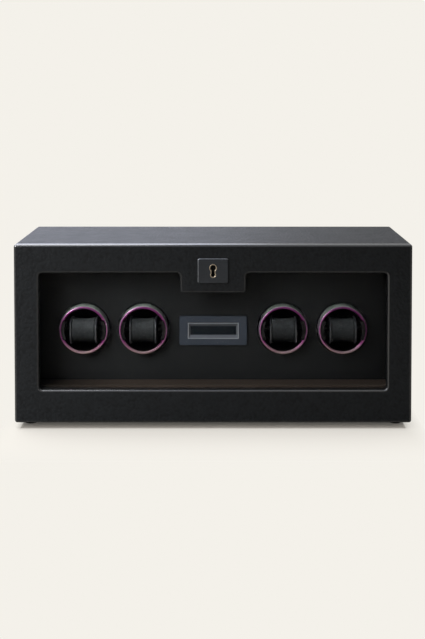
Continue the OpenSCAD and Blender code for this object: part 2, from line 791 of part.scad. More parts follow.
module rotor_cup(x) color([0.04, 0.04, 0.045]) difference() {
    union() {
        rod_y(cup_outer_r, cup_front_y, cup_back_y, x, rotor_z);
        rod_y(cup_boss_r, cup_back_y, cup_back_y + boss_len, x, rotor_z);
    }
    rod_y(cup_r, cup_front_y - eps, cup_back_y - cup_floor_t, x, rotor_z);
    rod_y(spindle_r, cup_back_y - cup_floor_t - eps, gear_y + eps, x, rotor_z);
}

// Half of the ring's section: radius across, distance forward from the ring's back edge up
module ring_section() {
    lip = ring_len - ring_lip;
    crest = ring_front_r - ring_edge;
    polygon([[cup_outer_r, 0], [ring_base_r, 0], [ring_base_r, ring_tail + 3],
             [ring_front_r, ring_len - ring_edge], [crest, ring_len],
             [ring_clear_r, lip + 0.8], [ring_clear_r, lip], [cup_outer_r, lip]]);
    translate([crest, ring_len - ring_edge]) circle(ring_edge);
}

module bezel_ring(x) color([0.5, 0.35, 0.5]) translate([x, 0, rotor_z]) difference() {
    translate([0, ring_back_y, 0]) rotate([90, 0, 0]) rotate_extrude() ring_section();
    intersection() {
        rod_y(notch_r, ring_front_y - eps, cup_front_y);
        block([-2 * notch_r, ring_front_y - eps, -notch_h / 2], [2 * notch_r, cup_front_y, notch_h / 2]);
    }
}

// Half of the cushion's section: radius across, distance from one end up
module cushion_section() {
    half = cushion_w / 2;
    dip_r = (half * half + cushion_waist * cushion_waist) / (2 * cushion_waist);
    difference() {
        square([cushion_r, cushion_w]);
        translate([cushion_r - cushion_waist + dip_r, half]) circle(dip_r, $fn = 240);
        translate([-eps, -eps]) square([bar_r + eps, cushion_w + 2 * eps]);
    }
    for (end = [bead_r, cushion_w - bead_r]) translate([cushion_r - bead_r, end]) circle(bead_r);
}

module cushion(x) color([0.06, 0.065, 0.07])
    translate([x - cushion_w / 2, cushion_y, rotor_z]) rotate([0, 90, 0]) rotate_extrude() cushion_section();

module cushion_frame(x) color([0.05, 0.05, 0.05]) translate([x, cushion_y, rotor_z]) {
    rod_x(bar_r, -shoe_r + shoe_t, shoe_r - shoe_t);
    intersection() {
        difference() {
            rod_y(shoe_r, -shoe_len / 2, shoe_len / 2);
            rod_y(shoe_r - shoe_t - 1, -shoe_len / 2 - eps, shoe_len / 2 + eps);
        }
        block([-2 * shoe_r, -shoe_len, -shoe_h / 2], [2 * shoe_r, shoe_len, shoe_h / 2]);
    }
}

// ---------------------------------------------------------------- electrics

module controller_board() color([0.08, 0.32, 0.16]) {
    centre_block(controller_w, controller_h, controller_y, controller_y + pcb_t);
    corner_spacers(controller_w, controller_h, chassis_back_y, controller_y);
    for (part = CONTROLLER_PARTS) {
        at = [part[0][0], controller_y + pcb_t, display_z + part[0][1]];
        block(at, at + part[1]);
    }
}

module dc_inlet() color([0.06, 0.06, 0.06]) {
    difference() {
        union() {
            rod_y(inlet_r, back_y - inlet_len, back_y, inlet_x, inlet_z);
            rod_y(inlet_flange_r, back_y, inlet_face_y, inlet_x, inlet_z);
        }
        rod_y(inlet_socket_r, inlet_socket_y, inlet_face_y + eps, inlet_x, inlet_z);
    }
    rod_y(inlet_pin_r, inlet_socket_y - eps, back_y - 1, inlet_x, inlet_z);
}

// A round elbow where two wires meet
module elbow(r, p) translate(p) sphere(r);

module wiring_loom() color([0.15, 0.15, 0.15]) {
    board_wire_y = controller_y + pcb_t + wire_r;
    // trunk under the motors, and its drop to the inlet
    rod_x(loom_r, ROTORS[0], inlet_x, loom_y, loom_z);
    elbow(loom_r, [inlet_x, loom_y, loom_z]);
    rod_z(loom_r, inlet_z, loom_z, inlet_x, loom_y);
    elbow(loom_r, [inlet_x, loom_y, inlet_z]);
    rod_y(loom_r, loom_y, back_y - inlet_len, inlet_x, inlet_z);
    // a lead up to each motor
    for (x = ROTORS) {
        rod_z(wire_r, loom_z, motor_z, x, loom_y);
        elbow(wire_r, [x, loom_y, motor_z]);
        rod_y(wire_r, motor_back_y, loom_y, x, motor_z);
    }
    // leads to the controller and on to the display
    rod_y(wire_r, board_wire_y, loom_y, 0, loom_z);
    elbow(wire_r, [0, board_wire_y, loom_z]);
    rod_z(wire_r, loom_z, display_z - controller_h / 2 + wire_end, 0, board_wire_y);
    rod_y(display_cable_r, board_y + pcb_t, controller_y, 0, display_z);
}

// ---------------------------------------------------------------- nodes

top_panel();
bottom_panel();
side_panel(-1);  // left_side_panel
side_panel(1);  // right_side_panel
back_panel();
rotor_panel();
deck_board();
rubber_feet();
wood_screws();
strike_plate();
hinge_brackets();
display_bezel();
display_window();
display_board();
chassis_plate();
chassis_posts();
chassis_screws();
spindle_bushes();
gearmotors();
controller_board();
dc_inlet();
wiring_loom();
door_frame();
door_glass();
glazing_bead();
escutcheon_plate();
keyhole_liner();
lock_case();
lock_screws();
hinge_pins();
lock_hub();
lock_cam();
for (i = [1:4]) {
    bezel_ring(ROTORS[i - 1]);
    rotor_cup(ROTORS[i - 1]);
    spindle(ROTORS[i - 1]);
    drive_gear(ROTORS[i - 1]);
    motor_pinion(ROTORS[i - 1]);
    cushion(ROTORS[i - 1]);
    cushion_frame(ROTORS[i - 1]);
}
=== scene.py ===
"""Dresses the frame of a watch winder box: a wrapped case, a glazed door with its lock, four rotors.

Sizes in the classes are in millimetres, apart from the studio's. Meshes are made in metres, in the frame of
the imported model: X to the right, Y to the back, Z up.
"""

import json
import logging
import math
from dataclasses import dataclass
from enum import Enum
from itertools import product
from typing import Iterable, Sequence

import bmesh
import bpy
from mathutils import Matrix, Vector


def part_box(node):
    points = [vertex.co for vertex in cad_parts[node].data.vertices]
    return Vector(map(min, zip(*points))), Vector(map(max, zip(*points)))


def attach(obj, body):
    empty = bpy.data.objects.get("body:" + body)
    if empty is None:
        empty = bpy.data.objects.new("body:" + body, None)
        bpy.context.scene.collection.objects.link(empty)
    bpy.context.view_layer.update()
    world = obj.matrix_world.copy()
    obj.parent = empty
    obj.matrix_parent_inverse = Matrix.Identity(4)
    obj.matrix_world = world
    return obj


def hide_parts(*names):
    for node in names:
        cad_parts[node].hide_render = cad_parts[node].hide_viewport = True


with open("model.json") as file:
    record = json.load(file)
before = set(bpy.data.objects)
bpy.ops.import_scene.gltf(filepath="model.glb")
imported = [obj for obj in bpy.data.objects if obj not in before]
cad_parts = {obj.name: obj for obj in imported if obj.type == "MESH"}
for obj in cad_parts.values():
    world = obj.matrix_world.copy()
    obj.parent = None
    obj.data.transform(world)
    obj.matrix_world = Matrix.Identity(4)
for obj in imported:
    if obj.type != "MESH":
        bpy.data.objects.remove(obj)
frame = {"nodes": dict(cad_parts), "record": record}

LOG = logging.getLogger("winder")
MM = 0.001
MOST = (0.3, 0.7)  # where nearly all of a noise's values lie
ROTORS_X = (-219.4, -118.6, 118.6, 219.4)
Point2 = tuple[float, float]
Point3 = tuple[float, float, float]
Spot = tuple[Sequence[float], Sequence[float], Sequence[float]]
Loop = list[Vector]
Piece = bpy.types.Object
Shell = bmesh.types.BMesh
Tree = bpy.types.NodeTree
Node = bpy.types.Node
Socket = bpy.types.NodeSocket
Source = Node | Socket
NOISE = "ShaderNodeTexNoise"
CELLS = "ShaderNodeTexVoronoi"
RANGE = "ShaderNodeMapRange"
MATH = "ShaderNodeMath"
VECTOR = "ShaderNodeVectorMath"
APART = "ShaderNodeSeparateXYZ"
MIX = "ShaderNodeMix"
BUMP = "ShaderNodeBump"


class Axis(Enum):
    """The axis that a turned piece or a grain runs along."""

    X = 0
    Y = 1
    Z = 2


# ------------------------------------------------------------------ nodes and finishes


def linear(code: str) -> tuple[float, float, float, float]:
    """Turns an sRGB colour, "#rrggbb", into linear light with an alpha of 1."""
    parts = (int(code[i : i + 2], 16) / 255 for i in (1, 3, 5))
    return (*(c / 12.92 if c <= 0.04045 else ((c + 0.055) / 1.055) ** 2.4 for c in parts), 1.0)


def pin(sockets: Iterable, key: str | int) -> Socket:
    """Finds one of a node's sockets.

    Args:
        sockets: the node's inputs or outputs.
        key: the socket's identifier or name, or its place in the list.

    Returns:
        The socket.
    """
    if isinstance(key, int):
        return sockets[key]
    return next((s for s in sockets if s.identifier == key), None) or sockets[key]


def feed(tree: Tree, node: Node, inputs: dict) -> None:
    """Sets or links a node's inputs.

    Args:
        tree: the node's tree.
        node: the node.
        inputs: by each input's identifier, name or place, a value, a socket to link from, or a node,
            which stands for its first output in use.
    """
    for key, value in inputs.items():
        target = pin(node.inputs, key)
        if isinstance(value, Node):
            value = next(s for s in value.outputs if s.enabled)
        if isinstance(value, Socket):
            tree.links.new(value, target)
        else:
            target.default_value = value


def add_node(tree: Tree, kind: str, inputs: dict | None = None, **settings) -> Node:
    """Adds a node to a tree, with its settings and links.

    Args:
        tree: the tree that gets the node.
        kind: the node's type name.
        inputs: its inputs, as feed takes them.
        settings: the node's own properties.

    Returns:
        The node.
    """
    node = tree.nodes.new(kind)
    for name, value in settings.items():
        setattr(node, name, value)
    feed(tree, node, inputs or {})
    return node


def grain(place: Source, size: float, **more: float) -> dict:
    """Gives a pattern's inputs, for coordinates in metres and a repeat in millimetres."""
    return {"Vector": place, "Scale": 1 / (size * MM), **more}


def span(value: Source, old: Sequence[float], new: Sequence[float]) -> dict:
    """Gives the inputs that take a value from an old range to a new one, and stop it at the ends."""
    return dict(zip(("Value", "From Min", "From Max", "To Min", "To Max"), (value, *old, *new)))


def shades(share: Source, *colours: str | Source) -> dict:
    """Gives the inputs that mix two colours, with a share of the second."""
    first, second = (linear(c) if isinstance(c, str) else c for c in colours)
    return {"Factor_Float": share, "A_Color": first, "B_Color": second}


def relief(height: Source, depth: float, strength: float = 1.0) -> dict:
    """Gives the inputs of a relief, whose height of 0 to 1 stands for a depth in millimetres."""
    return {"Height": height, "Distance": depth * MM, "Strength": strength}


@dataclass(frozen=True)
class Finish:
    """A surface finish: the shader's constants, on which each kind of finish hangs its pattern."""

    name: str
    colour: str
    roughness: float
    metallic: float = 0.0
    specular: float = 0.5
    coat: float = 0.0
    coat_roughness: float = 0.2
    coat_ior: float = 1.5

    def material(self) -> bpy.types.Material:
        """Makes the finish's material, unless it is there already.

        Returns:
            The material.
        """
        made = bpy.data.materials.get(self.name)
        if made:
            return made
        made = bpy.data.materials.new(self.name)
        made.use_nodes = True
        tree = made.node_tree
        shader = tree.nodes["Principled BSDF"]
        constants = {
            "Base Color": linear(self.colour),
            "Roughness": self.roughness,
            "Metallic": self.metallic,
            "Specular IOR Level": self.specular,
            "Coat Weight": self.coat,
            "Coat Roughness": self.coat_roughness,
            "Coat IOR": self.coat_ior,
        }
        for key, value in constants.items():
            shader.inputs[key].default_value = value
        place = add_node(tree, "ShaderNodeTexCoord").outputs["Object"]
        feed(tree, shader, self.pattern(tree, place))
        made.diffuse_color = linear(self.colour)
        return made

    def pattern(self, tree: Tree, place: Socket) -> dict[str, Source]:
        """Adds the pattern of colour, roughness and relief.

        Args:
            tree: the material's tree.
            place: the object's coordinates, in metres.

        Returns:
            What goes into the shader, by its input's name.
        """
        raise NotImplementedError

    def gloss(self, value: Source, less: float, more: float, old: Point2 = MOST) -> dict:
        """Gives the inputs that let the roughness run from less to more, beside its mean."""
        return span(value, old, (self.roughness + less, self.roughness + more))


@dataclass(frozen=True)
class Leather(Finish):
    """Embossed leather or leatherette: pebbles with creases between them, painted shade in the creases, and
    glossier edges.
    """

    # the colour of the painted shade, in the creases between pebbles and towards the bottom
    crease: str = "#0c0c0d"
    pebble: float = 2.6
    depth: float = 0.12
    mottle: float = 0.25
    burnish: float = 0.0
    # painted shade: how much darker towards the bottom, as a share of the crease colour; it fades out between
    # the heights in low, in millimetres
    painted_shade_below: float = 0.0
    low: Point2 = (136.0, 177.0)
    skin: float = 0.35
    edges: Point2 = (0.15, 0.75)

    def pattern(self, tree: Tree, place: Socket) -> dict[str, Source]:
        """Adds pebbles, a fine skin, soft mottling, painted shade in the creases and towards the bottom, and
        the burnished edges.

        Args:
            tree: the material's tree.
            place: the object's coordinates, in metres.

        Returns:
            What goes into the shader, by its input's name.
        """
        drift = add_node(tree, NOISE, grain(place, self.pebble * 5, Detail=3.0))
        fine = add_node(tree, NOISE, grain(place, self.pebble / 4, Detail=2.0))
        cells = add_node(tree, CELLS, grain(place, self.pebble, Randomness=0.9), feature="SMOOTH_F1")
        pebbles = add_node(tree, RANGE, span(cells, self.edges, (1.0, 0.0)))
        height = add_node(tree, MATH, {0: fine, 1: self.skin, 2: pebbles}, operation="MULTIPLY_ADD")
        worn = add_node(tree, RANGE, span(drift, MOST, (1 - self.mottle, 1.0)))
        # painted shade: the colour runs towards the crease colour in the creases between pebbles
        crown = add_node(tree, RANGE, span(pebbles, (0.0, 0.6), (0.45, 1.0)))
        share = add_node(tree, MATH, {0: worn, 1: crown}, operation="MULTIPLY")
        tone = add_node(tree, MIX, shades(share, self.crease, self.colour), data_type="RGBA")
        # painted shade: darker towards the bottom of the piece
        if self.painted_shade_below:
            level = add_node(tree, APART, {"Vector": place}).outputs["Z"]
            ends = [end * MM for end in self.low]
            below = add_node(tree, RANGE, span(level, ends, (self.painted_shade_below, 0.0)))
            tone = add_node(tree, MIX, shades(below, tone, self.crease), data_type="RGBA")
        found = {"Base Color": tone, "Normal": add_node(tree, BUMP, relief(height, self.depth))}
        found["Roughness"] = add_node(tree, RANGE, self.gloss(drift, 0.02, -0.02))
        if self.burnish:
            edge = add_node(tree, "ShaderNodeAttribute", attribute_name="burnish").outputs["Fac"]
            found["Coat Weight"] = add_node(tree, RANGE, span(edge, (0.0, 1.0), (0.0, self.burnish)))
        return found


@dataclass(frozen=True)
class Moulded(Finish):
    """Moulded or painted stock: an even fine texture, slow drifts of tone, and painted shade darkening the
    ends where wished.
    """

    grit: float = 0.9
    depth: float = 0.03
    drift: float = 18.0
    dust: str = "#202022"
    # painted shade: how much the colour darkens towards the left and right ends, between the distances in
    # ends, in millimetres
    left: float = 0.0
    right: float = 0.0
    ends: Point2 = (150.0, 280.0)
    painted_end_shade: str = "#020202"

    def pattern(self, tree: Tree, place: Socket) -> dict[str, Source]:
        """Adds the fine texture, the slow drifts and the painted shade at the ends.

        Args:
            tree: the material's tree.
            place: the object's coordinates, in metres.

        Returns:
            What goes into the shader, by its input's name.
        """
        fine = add_node(tree, NOISE, grain(place, self.grit, Detail=3.0))
        slow = add_node(tree, NOISE, grain(place, self.drift, Detail=3.0))
        share = add_node(tree, RANGE, span(slow, (0.35, 0.75), (0.0, 0.5)))
        tone = add_node(tree, MIX, shades(share, self.colour, self.dust), data_type="RGBA")
        # painted shade: darker towards the ends along X
        for side, depth in ((-1, self.left), (1, self.right)):
            if depth:
                across = add_node(tree, APART, {"Vector": place}).outputs["X"]
                ends = [side * end * MM for end in self.ends]
                share = add_node(tree, RANGE, span(across, ends, (0.0, depth)))
                tone = add_node(tree, MIX, shades(share, tone, self.painted_end_shade), data_type="RGBA")
        inputs = {0: fine, 1: 0.12, 2: self.roughness - 0.06}
        rough = add_node(tree, MATH, inputs, operation="MULTIPLY_ADD")
        bent = add_node(tree, BUMP, relief(fine, self.depth))
        return {"Base Color": tone, "Roughness": rough, "Normal": bent}


@dataclass(frozen=True)
class Brushed(Finish):
    """Metal with brush, roller or lathe lines along one axis, and a faint bloom over them."""

    along: Axis = Axis.X
    line: float = 0.25
    length: float = 30.0
    depth: float = 0.01
    shade: str = "#6a6a6c"
    bloom: float = 14.0

    def pattern(self, tree: Tree, place: Socket) -> dict[str, Source]:
        """Adds the lines and the bloom.

        Args:
            tree: the material's tree.
            place: the object's coordinates, in metres.

        Returns:
            What goes into the shader, by its input's name.
        """
        scale = [1.0, 1.0, 1.0]
        scale[self.along.value] = self.line / self.length
        turned = add_node(tree, "ShaderNodeMapping", {"Vector": place, "Scale": scale})
        lines = add_node(tree, NOISE, grain(turned, self.line * 4, Detail=3.0))
        bloom = add_node(tree, NOISE, grain(place, self.bloom, Detail=3.0))
        both = add_node(tree, MATH, {0: lines, 1: bloom}, operation="MULTIPLY")
        share = add_node(tree, RANGE, span(both, (0.12, 0.42), (0.0, 1.0)))
        tone = add_node(tree, MIX, shades(share, self.shade, self.colour), data_type="RGBA")
        rough = add_node(tree, RANGE, self.gloss(lines, 0.06, -0.06))
        bent = add_node(tree, BUMP, relief(lines, self.depth, 0.6))
        return {"Base Color": tone, "Roughness": rough, "Normal": bent}


@dataclass(frozen=True)
class FilmWithPaintedReflections(Finish):
    """Metal under a thin oxide film, with painted reflections: a crown tint high on the ring and a foot tint
    low on it, which turn with the ring.
    """

    # painted reflections: crown tints the ring where it is high, over the range high, and foot where it is
    # low, over the range low
    crown: str = "#5b6a62"
    foot: str = "#7a5550"
    high: Point2 = (0.35, 1.1)
    low: Point2 = (0.1, -0.7)
    waver: float = 11.0
    lines: float = 0.6

    def pattern(self, tree: Tree, place: Socket) -> dict[str, Source]:
        """Adds the painted reflections over the film's colour by the ring's own map, whose u runs once round
        from the right.

        Args:
            tree: the material's tree.
            place: the object's coordinates, in metres.

        Returns:
            What goes into the shader, by its input's name.
        """
        chart = add_node(tree, "ShaderNodeUVMap", uv_map="round")
        around = add_node(tree, APART, {"Vector": chart}).outputs["X"]
        angle = add_node(tree, MATH, {0: around, 1: 2 * math.pi}, operation="MULTIPLY")
        rise = add_node(tree, MATH, {0: angle}, operation="SINE")
        waver = add_node(tree, NOISE, grain(place, self.waver, Detail=3.0))
        level = add_node(tree, MATH, {0: waver, 1: 0.5, 2: rise}, operation="MULTIPLY_ADD")
        tone = self.colour
        # painted reflections: the crown tint high on the ring, the foot tint low on it
        for ends, colour in ((self.high, self.crown), (self.low, self.foot)):
            share = add_node(tree, RANGE, span(level, ends, (0.0, 1.0)))
            tone = add_node(tree, MIX, shades(share, tone, colour), data_type="RGBA")
        lines = add_node(tree, NOISE, grain(place, self.lines, Detail=3.0))
        rough = add_node(tree, RANGE, self.gloss(lines, -0.03, 0.04))
        bent = add_node(tree, BUMP, relief(lines, 0.004, 0.5))
        return {"Base Color": tone, "Roughness": rough, "Normal": bent}


@dataclass(frozen=True)
class Pane(Finish):
    """Clear glass: nearly all light goes through, and the rest is a faint reflection."""

    clear: float = 0.12
    edge_on: float = 0.3
    haze: float = 60.0

    def pattern(self, tree: Tree, place: Socket) -> dict[str, Source]:
        """Makes the glass denser edge-on, and adds a wiping haze.

        Args:
            tree: the material's tree.
            place: the object's coordinates, in metres.

        Returns:
            What goes into the shader, by its input's name.
        """
        slant = add_node(tree, "ShaderNodeLayerWeight", {"Blend": 0.5}).outputs["Facing"]
        alpha = add_node(tree, RANGE, span(slant, (0.4, 1.0), (self.clear, self.edge_on)))
        haze = add_node(tree, NOISE, grain(place, self.haze, Detail=3.0))
        rough = add_node(tree, RANGE, self.gloss(haze, 0.0, 0.06, (0.35, 0.7)))
        return {"Alpha": alpha, "Roughness": rough}


@dataclass(frozen=True)
class Circuit(Finish):
    """Solder mask over copper tracks, on a woven board."""

    track: str = "#1f6a3c"
    pitch: float = 5.5
    weave: float = 0.8

    def pattern(self, tree: Tree, place: Socket) -> dict[str, Source]:
        """Adds right-angled tracks as the edges of square cells, and the weave below the mask.

        Args:
            tree: the material's tree.
            place: the object's coordinates, in metres.

        Returns:
            What goes into the shader, by its input's name.
        """
        cells = add_node(tree, CELLS, grain(place, self.pitch, Randomness=0.8), distance="CHEBYCHEV")
        tracks = add_node(tree, RANGE, span(cells, (0.40, 0.46), (0.0, 1.0)))
        tone = add_node(tree, MIX, shades(tracks, self.colour, self.track), data_type="RGBA")
        weave = add_node(tree, NOISE, grain(place, self.weave, Detail=3.0))
        rough = add_node(tree, RANGE, self.gloss(weave, 0.0, 0.1))
        return {"Base Color": tone, "Roughness": rough, "Normal": add_node(tree, BUMP, relief(tracks, 0.035))}


# Leatherette wrap over board: pebble embossed, satin. Real pebbles are about 1.2 mm; they are
# drawn at 4.2 mm so that they show. Rubbing makes it glossier where it is drawn round an edge.
WRAP = Leather(
    "pebbled_leatherette", "#1e2022", 0.5, specular=0.1, coat_roughness=0.18, coat_ior=2.15,
    burnish=1.0, pebble=4.2, depth=0.55, mottle=0.22,
)
# Bonded leather on the watch cushions: soft, fine grain, with painted shade darkening it towards the bottom,
# so that its top reads as lit
CUSHION = Leather(
    "soft_black_leather", "#55595b", 0.5, specular=0.06, crease="#060607",
    pebble=1.5, depth=0.08, painted_shade_below=0.95,
)
# The strip of the same leather over the piping's cord: stretched, so smoother and glossier
PIPING = Leather(
    "stretched_black_leather", "#3a3d41", 0.3, specular=0.6, crease="#141416", pebble=1.2, depth=0.04
)
# Fibreboard with black paper foil: dull, with a fine calendered tooth
BACK = Moulded("foiled_back_board", "#161617", 0.62, specular=0.2, grit=1.2)
# MDF sprayed matt black: light sinks in, the spray is thin and uneven, with painted shade darkening it
# towards both ends
PANEL = Moulded(
    "matt_sprayed_board", "#1d1f20", 0.62, specular=0.15, grit=1.4, depth=0.02, drift=70.0,
    dust="#202223", left=0.96, right=0.6,
)
# The floor of the bay: brown-black satin lacquer on board, with painted shade darkening its left end
DECK = Moulded(
    "brown_black_lacquer", "#443b34", 0.36, specular=0.35, grit=2.0, depth=0.004, drift=60.0,
    dust="#4c433c", left=0.9,
)
# Moulded nitrile rubber: matt, grey bloom from dust
RUBBER = Moulded("nitrile_rubber", "#141414", 0.75, specular=0.3, grit=0.8, depth=0.04, dust="#2b2a29")
# Nickel-plated steel screws: bright, turned lines
SCREW = Brushed("nickelled_steel", "#9a9a9c", 0.3, metallic=1.0, line=0.15, length=4.0)
# Zinc-plated pressed steel: pale grey, spangled by the bath
ZINC = Brushed("zinc_plated_steel", "#8f9194", 0.42, metallic=1.0, line=0.3, length=12.0, shade="#6d6f72")
# Anodised aluminium surround: blue-grey, bead blasted
SURROUND = Moulded(
    "blasted_anodised_aluminium", "#353d4a", 0.42, metallic=0.6, grit=0.7, depth=0.012, drift=26.0,
    dust="#373f48",
)
# The same aluminium where the surround's frame is machined bright round the screen
BRIGHT = Moulded(
    "diamond_cut_aluminium", "#a0a6ae", 0.3, metallic=0.6, grit=0.5, depth=0.004, dust="#7d838b"
)
# The slopes inside that frame: the same metal, left matt
SLOPE = Moulded(
    "matt_milled_aluminium", "#70757c", 0.4, metallic=0.6, grit=0.5, depth=0.004, dust="#666b72"
)
# Smoked acrylic over a display that is switched off: near black with a blue cast, glossy
SCREEN = Moulded(
    "smoked_acrylic", "#0b141c", 0.14, specular=0.1, grit=3.0, depth=0.002, drift=22.0, dust="#101820"
)
# Glass-fibre circuit board under green solder mask
BOARD = Circuit("solder_masked_board", "#0f3d22", 0.35)
# Folded aluminium sheet: mill finish, rolled along X
CHASSIS = Brushed(
    "rolled_aluminium", "#a3a5a8", 0.38, metallic=1.0, line=0.4, length=60.0, shade="#85878a"
)
# Sintered bronze: porous, oil-soaked, dull gold
BRONZE = Moulded("sintered_bronze", "#8c6a3c", 0.45, metallic=1.0, grit=0.5, drift=5.0, dust="#6e5230")
# Deep-drawn steel of the gearmotors' cans: satin, drawn along the shaft
MOTOR = Brushed(
    "drawn_steel", "#85878a", 0.36, metallic=1.0, along=Axis.Y, line=0.35, length=20.0, shade="#6b6d70"
)
# Glass-filled nylon: black, faintly streaked
NYLON = Moulded("glass_filled_nylon", "#09090a", 0.5, specular=0.2, grit=0.6, depth=0.02, dust="#0e0e0f")
# PVC insulation of the wiring: soft satin black
CABLE = Moulded("pvc_insulation", "#151516", 0.45, specular=0.4, depth=0.01, dust="#222224")
# Float glass with an anti-reflective coat
GLASS = Pane("coated_float_glass", "#050607", 0.05, specular=0.08, clear=0.05)
# Black-nickelled zinc plate of the lock: satin, cross-brushed
PLATE = Brushed(
    "black_nickelled_plate", "#303338", 0.38, metallic=0.85, line=0.3, length=16.0, shade="#2a2d31"
)
# The same plating, painted brighter as a painted highlight on the faces that turn up or to the left
PLATE_HIGHLIGHT = Brushed("rubbed_black_nickel", "#a4a8ae", 0.3, metallic=0.9, line=0.3, length=16.0, shade="#8a8e94")
# Champagne-coloured brass of the keyhole's liner: polished
BRASS = Brushed("champagne_brass", "#a69b8a", 0.28, metallic=1.0, line=0.12, length=3.0, shade="#8f8474")
# Blackened steel of the lock's hub: turned, oiled
HUB = Brushed("blackened_steel", "#1b1b1c", 0.35, metallic=0.9, along=Axis.Y, shade="#121213")
# Anodised titanium ring: a mauve film, with painted reflections of green-grey at the crown and bronze at the
# foot. The film's clear top is drawn as a coat, which is why the metal under it is kept low.
RING = FilmWithPaintedReflections(
    "anodised_titanium", "#a08fa4", 0.26, metallic=0.3, coat=1.0, coat_roughness=0.08, coat_ior=2.0,
    crown="#d2e0d6", foot="#b08c74",
)
# The same metal on the ring's inner bevel, with a thicker film: plum, with a painted pale highlight at the
# foot
BEVEL = FilmWithPaintedReflections(
    "plum_anodised_titanium", "#93307f", 0.34, metallic=0.5, specular=0.8, coat=0.6, coat_roughness=0.1,
    coat_ior=2.0, crown="#953285", foot="#a98c8c", low=(-0.25, -0.8),
)
# ABS of the rotors' cups: black, satin, with flow marks
CUP = Moulded("satin_abs", "#070708", 0.45, specular=0.2, grit=1.0, depth=0.02, dust="#0b0b0c")
# Acetal gears: milky white, waxy
ACETAL = Moulded("acetal", "#cfcdc4", 0.35, specular=0.45, grit=0.7, depth=0.01, dust="#bdbbb0")
# Waxed polyester thread of the seams, near the leather's own black
THREAD = Moulded("waxed_thread", "#2b2c2f", 0.5, specular=0.4, grit=0.4, depth=0.05, dust="#3a3b3e")

SLOTS: dict[str, Finish] = {
    "leather_wrap": WRAP,
    "back_board": BACK,
    "panel_black": PANEL,
    "deck": DECK,
    "rubber": RUBBER,
    "screw_steel": SCREW,
    "zinc_steel": ZINC,
    "display_surround": SURROUND,
    "screen": SCREEN,
    "circuit_board": BOARD,
    "chassis": CHASSIS,
    "bronze_bush": BRONZE,
    "motor_steel": MOTOR,
    "black_plastic": NYLON,
    "cable": CABLE,
    "glass": GLASS,
    "escutcheon": PLATE,
    "keyhole_brass": BRASS,
    "lock_hub": HUB,
    "ring_chrome": RING,
    "cup_plastic": CUP,
    "gear_plastic": ACETAL,
    "cushion_leather": CUSHION,
}


# ------------------------------------------------------------------ mesh work


def arc(centre: Point2, radius: float, start: float, end: float, steps: int = 6) -> list[Point2]:
    """Gives points on an arc, both ends included.

    Args:
        centre: the arc's centre.
        radius: its radius.
        start: the first point's angle in degrees.
        end: the last point's angle in degrees.
        steps: how many chords it has.

    Returns:
        The points.
    """
    angles = (math.radians(start + (end - start) * i / steps) for i in range(steps + 1))
    return [(centre[0] + radius * math.cos(a), centre[1] + radius * math.sin(a)) for a in angles]


def rounded(width: float, height: float, radius: float, centre: Point2, steps: int = 6) -> list[Point2]:
    """Gives a rectangle with rounded corners, anticlockwise.

    Args:
        width: its width.
        height: its height.
        radius: its corners' radius.
        centre: its middle.
        steps: chords in each corner.

    Returns:
        The points.
    """
    points = []
    for i, (sx, sz) in enumerate(((1, 1), (-1, 1), (-1, -1), (1, -1))):
        middle = (centre[0] + sx * (width / 2 - radius), centre[1] + sz * (height / 2 - radius))
        points += arc(middle, radius, 90 * i, 90 * i + 90, steps)
    return points


def facing(points: Sequence[Point2], y: float) -> Loop:
    """Stands an outline of X and Z up at a depth, in metres."""
    return [Vector((x, y, z)) * MM for x, z in points]


def skin(shell: Shell, loops: Sequence[Loop], closed: bool = False) -> list[list[bmesh.types.BMVert]]:
    """Joins loops of equal length with rows of faces.

    Args:
        shell: the mesh that gets them.
        loops: the loops, in order.
        closed: whether the last loop joins the first.

    Returns:
        The loops' vertices.
    """
    rows = [[shell.verts.new(p) for p in loop] for loop in loops]
    count = len(rows[0])
    for a, b in zip(rows, rows[1:] + (rows[:1] if closed else [])):
        for i in range(count):
            j = (i + 1) % count
            shell.faces.new((a[i], a[j], b[j], b[i]))
    return rows


def fill(shell: Shell, *rows: Sequence[bmesh.types.BMVert]) -> None:
    """Fills the flat space inside one row of vertices, or between an outer and an inner one.

    Args:
        shell: the mesh that gets the faces.
        rows: the row, or the two rows.
    """
    edges = []
    for row in rows:
        for i, vert in enumerate(row):
            after = row[(i + 1) % len(row)]
            edges.append(shell.edges.get((vert, after)) or shell.edges.new((vert, after)))
    bmesh.ops.triangle_fill(shell, use_beauty=True, use_dissolve=False, edges=edges)


def add_object(name: str, data: bpy.types.ID) -> Piece:
    """Makes an object and links it to the scene.

    Args:
        name: the object's name.
        data: its mesh, lamp or camera.

    Returns:
        The object.
    """
    made = bpy.data.objects.new(name, data)
    bpy.context.scene.collection.objects.link(made)
    return made


def finish_shell(shell: Shell, name: str) -> Piece:
    """Merges a shell's doubles, turns its faces outwards and makes it an object.

    Args:
        shell: the mesh, which is freed.
        name: the object's name.

    Returns:
        The object, linked to the scene.
    """
    bmesh.ops.remove_doubles(shell, verts=shell.verts, dist=0.004 * MM)
    bmesh.ops.dissolve_degenerate(shell, edges=shell.edges, dist=0.002 * MM)
    bmesh.ops.recalc_face_normals(shell, faces=shell.faces)
    mesh = bpy.data.meshes.new(name)
    shell.to_mesh(mesh)
    shell.free()
    return add_object(name, mesh)


def bake(piece: Piece) -> Piece:
    """Turns a piece's modifiers into plain mesh and removes them.

    Args:
        piece: the piece, whose mesh is changed.

    Returns:
        The piece.
    """
    graph = bpy.context.evaluated_depsgraph_get()
    done = piece.evaluated_get(graph)
    mesh = bpy.data.meshes.new_from_object(done, preserve_all_data_layers=True, depsgraph=graph)
    piece.modifiers.clear()
    piece.data = mesh
    mesh.name = piece.name
    return piece


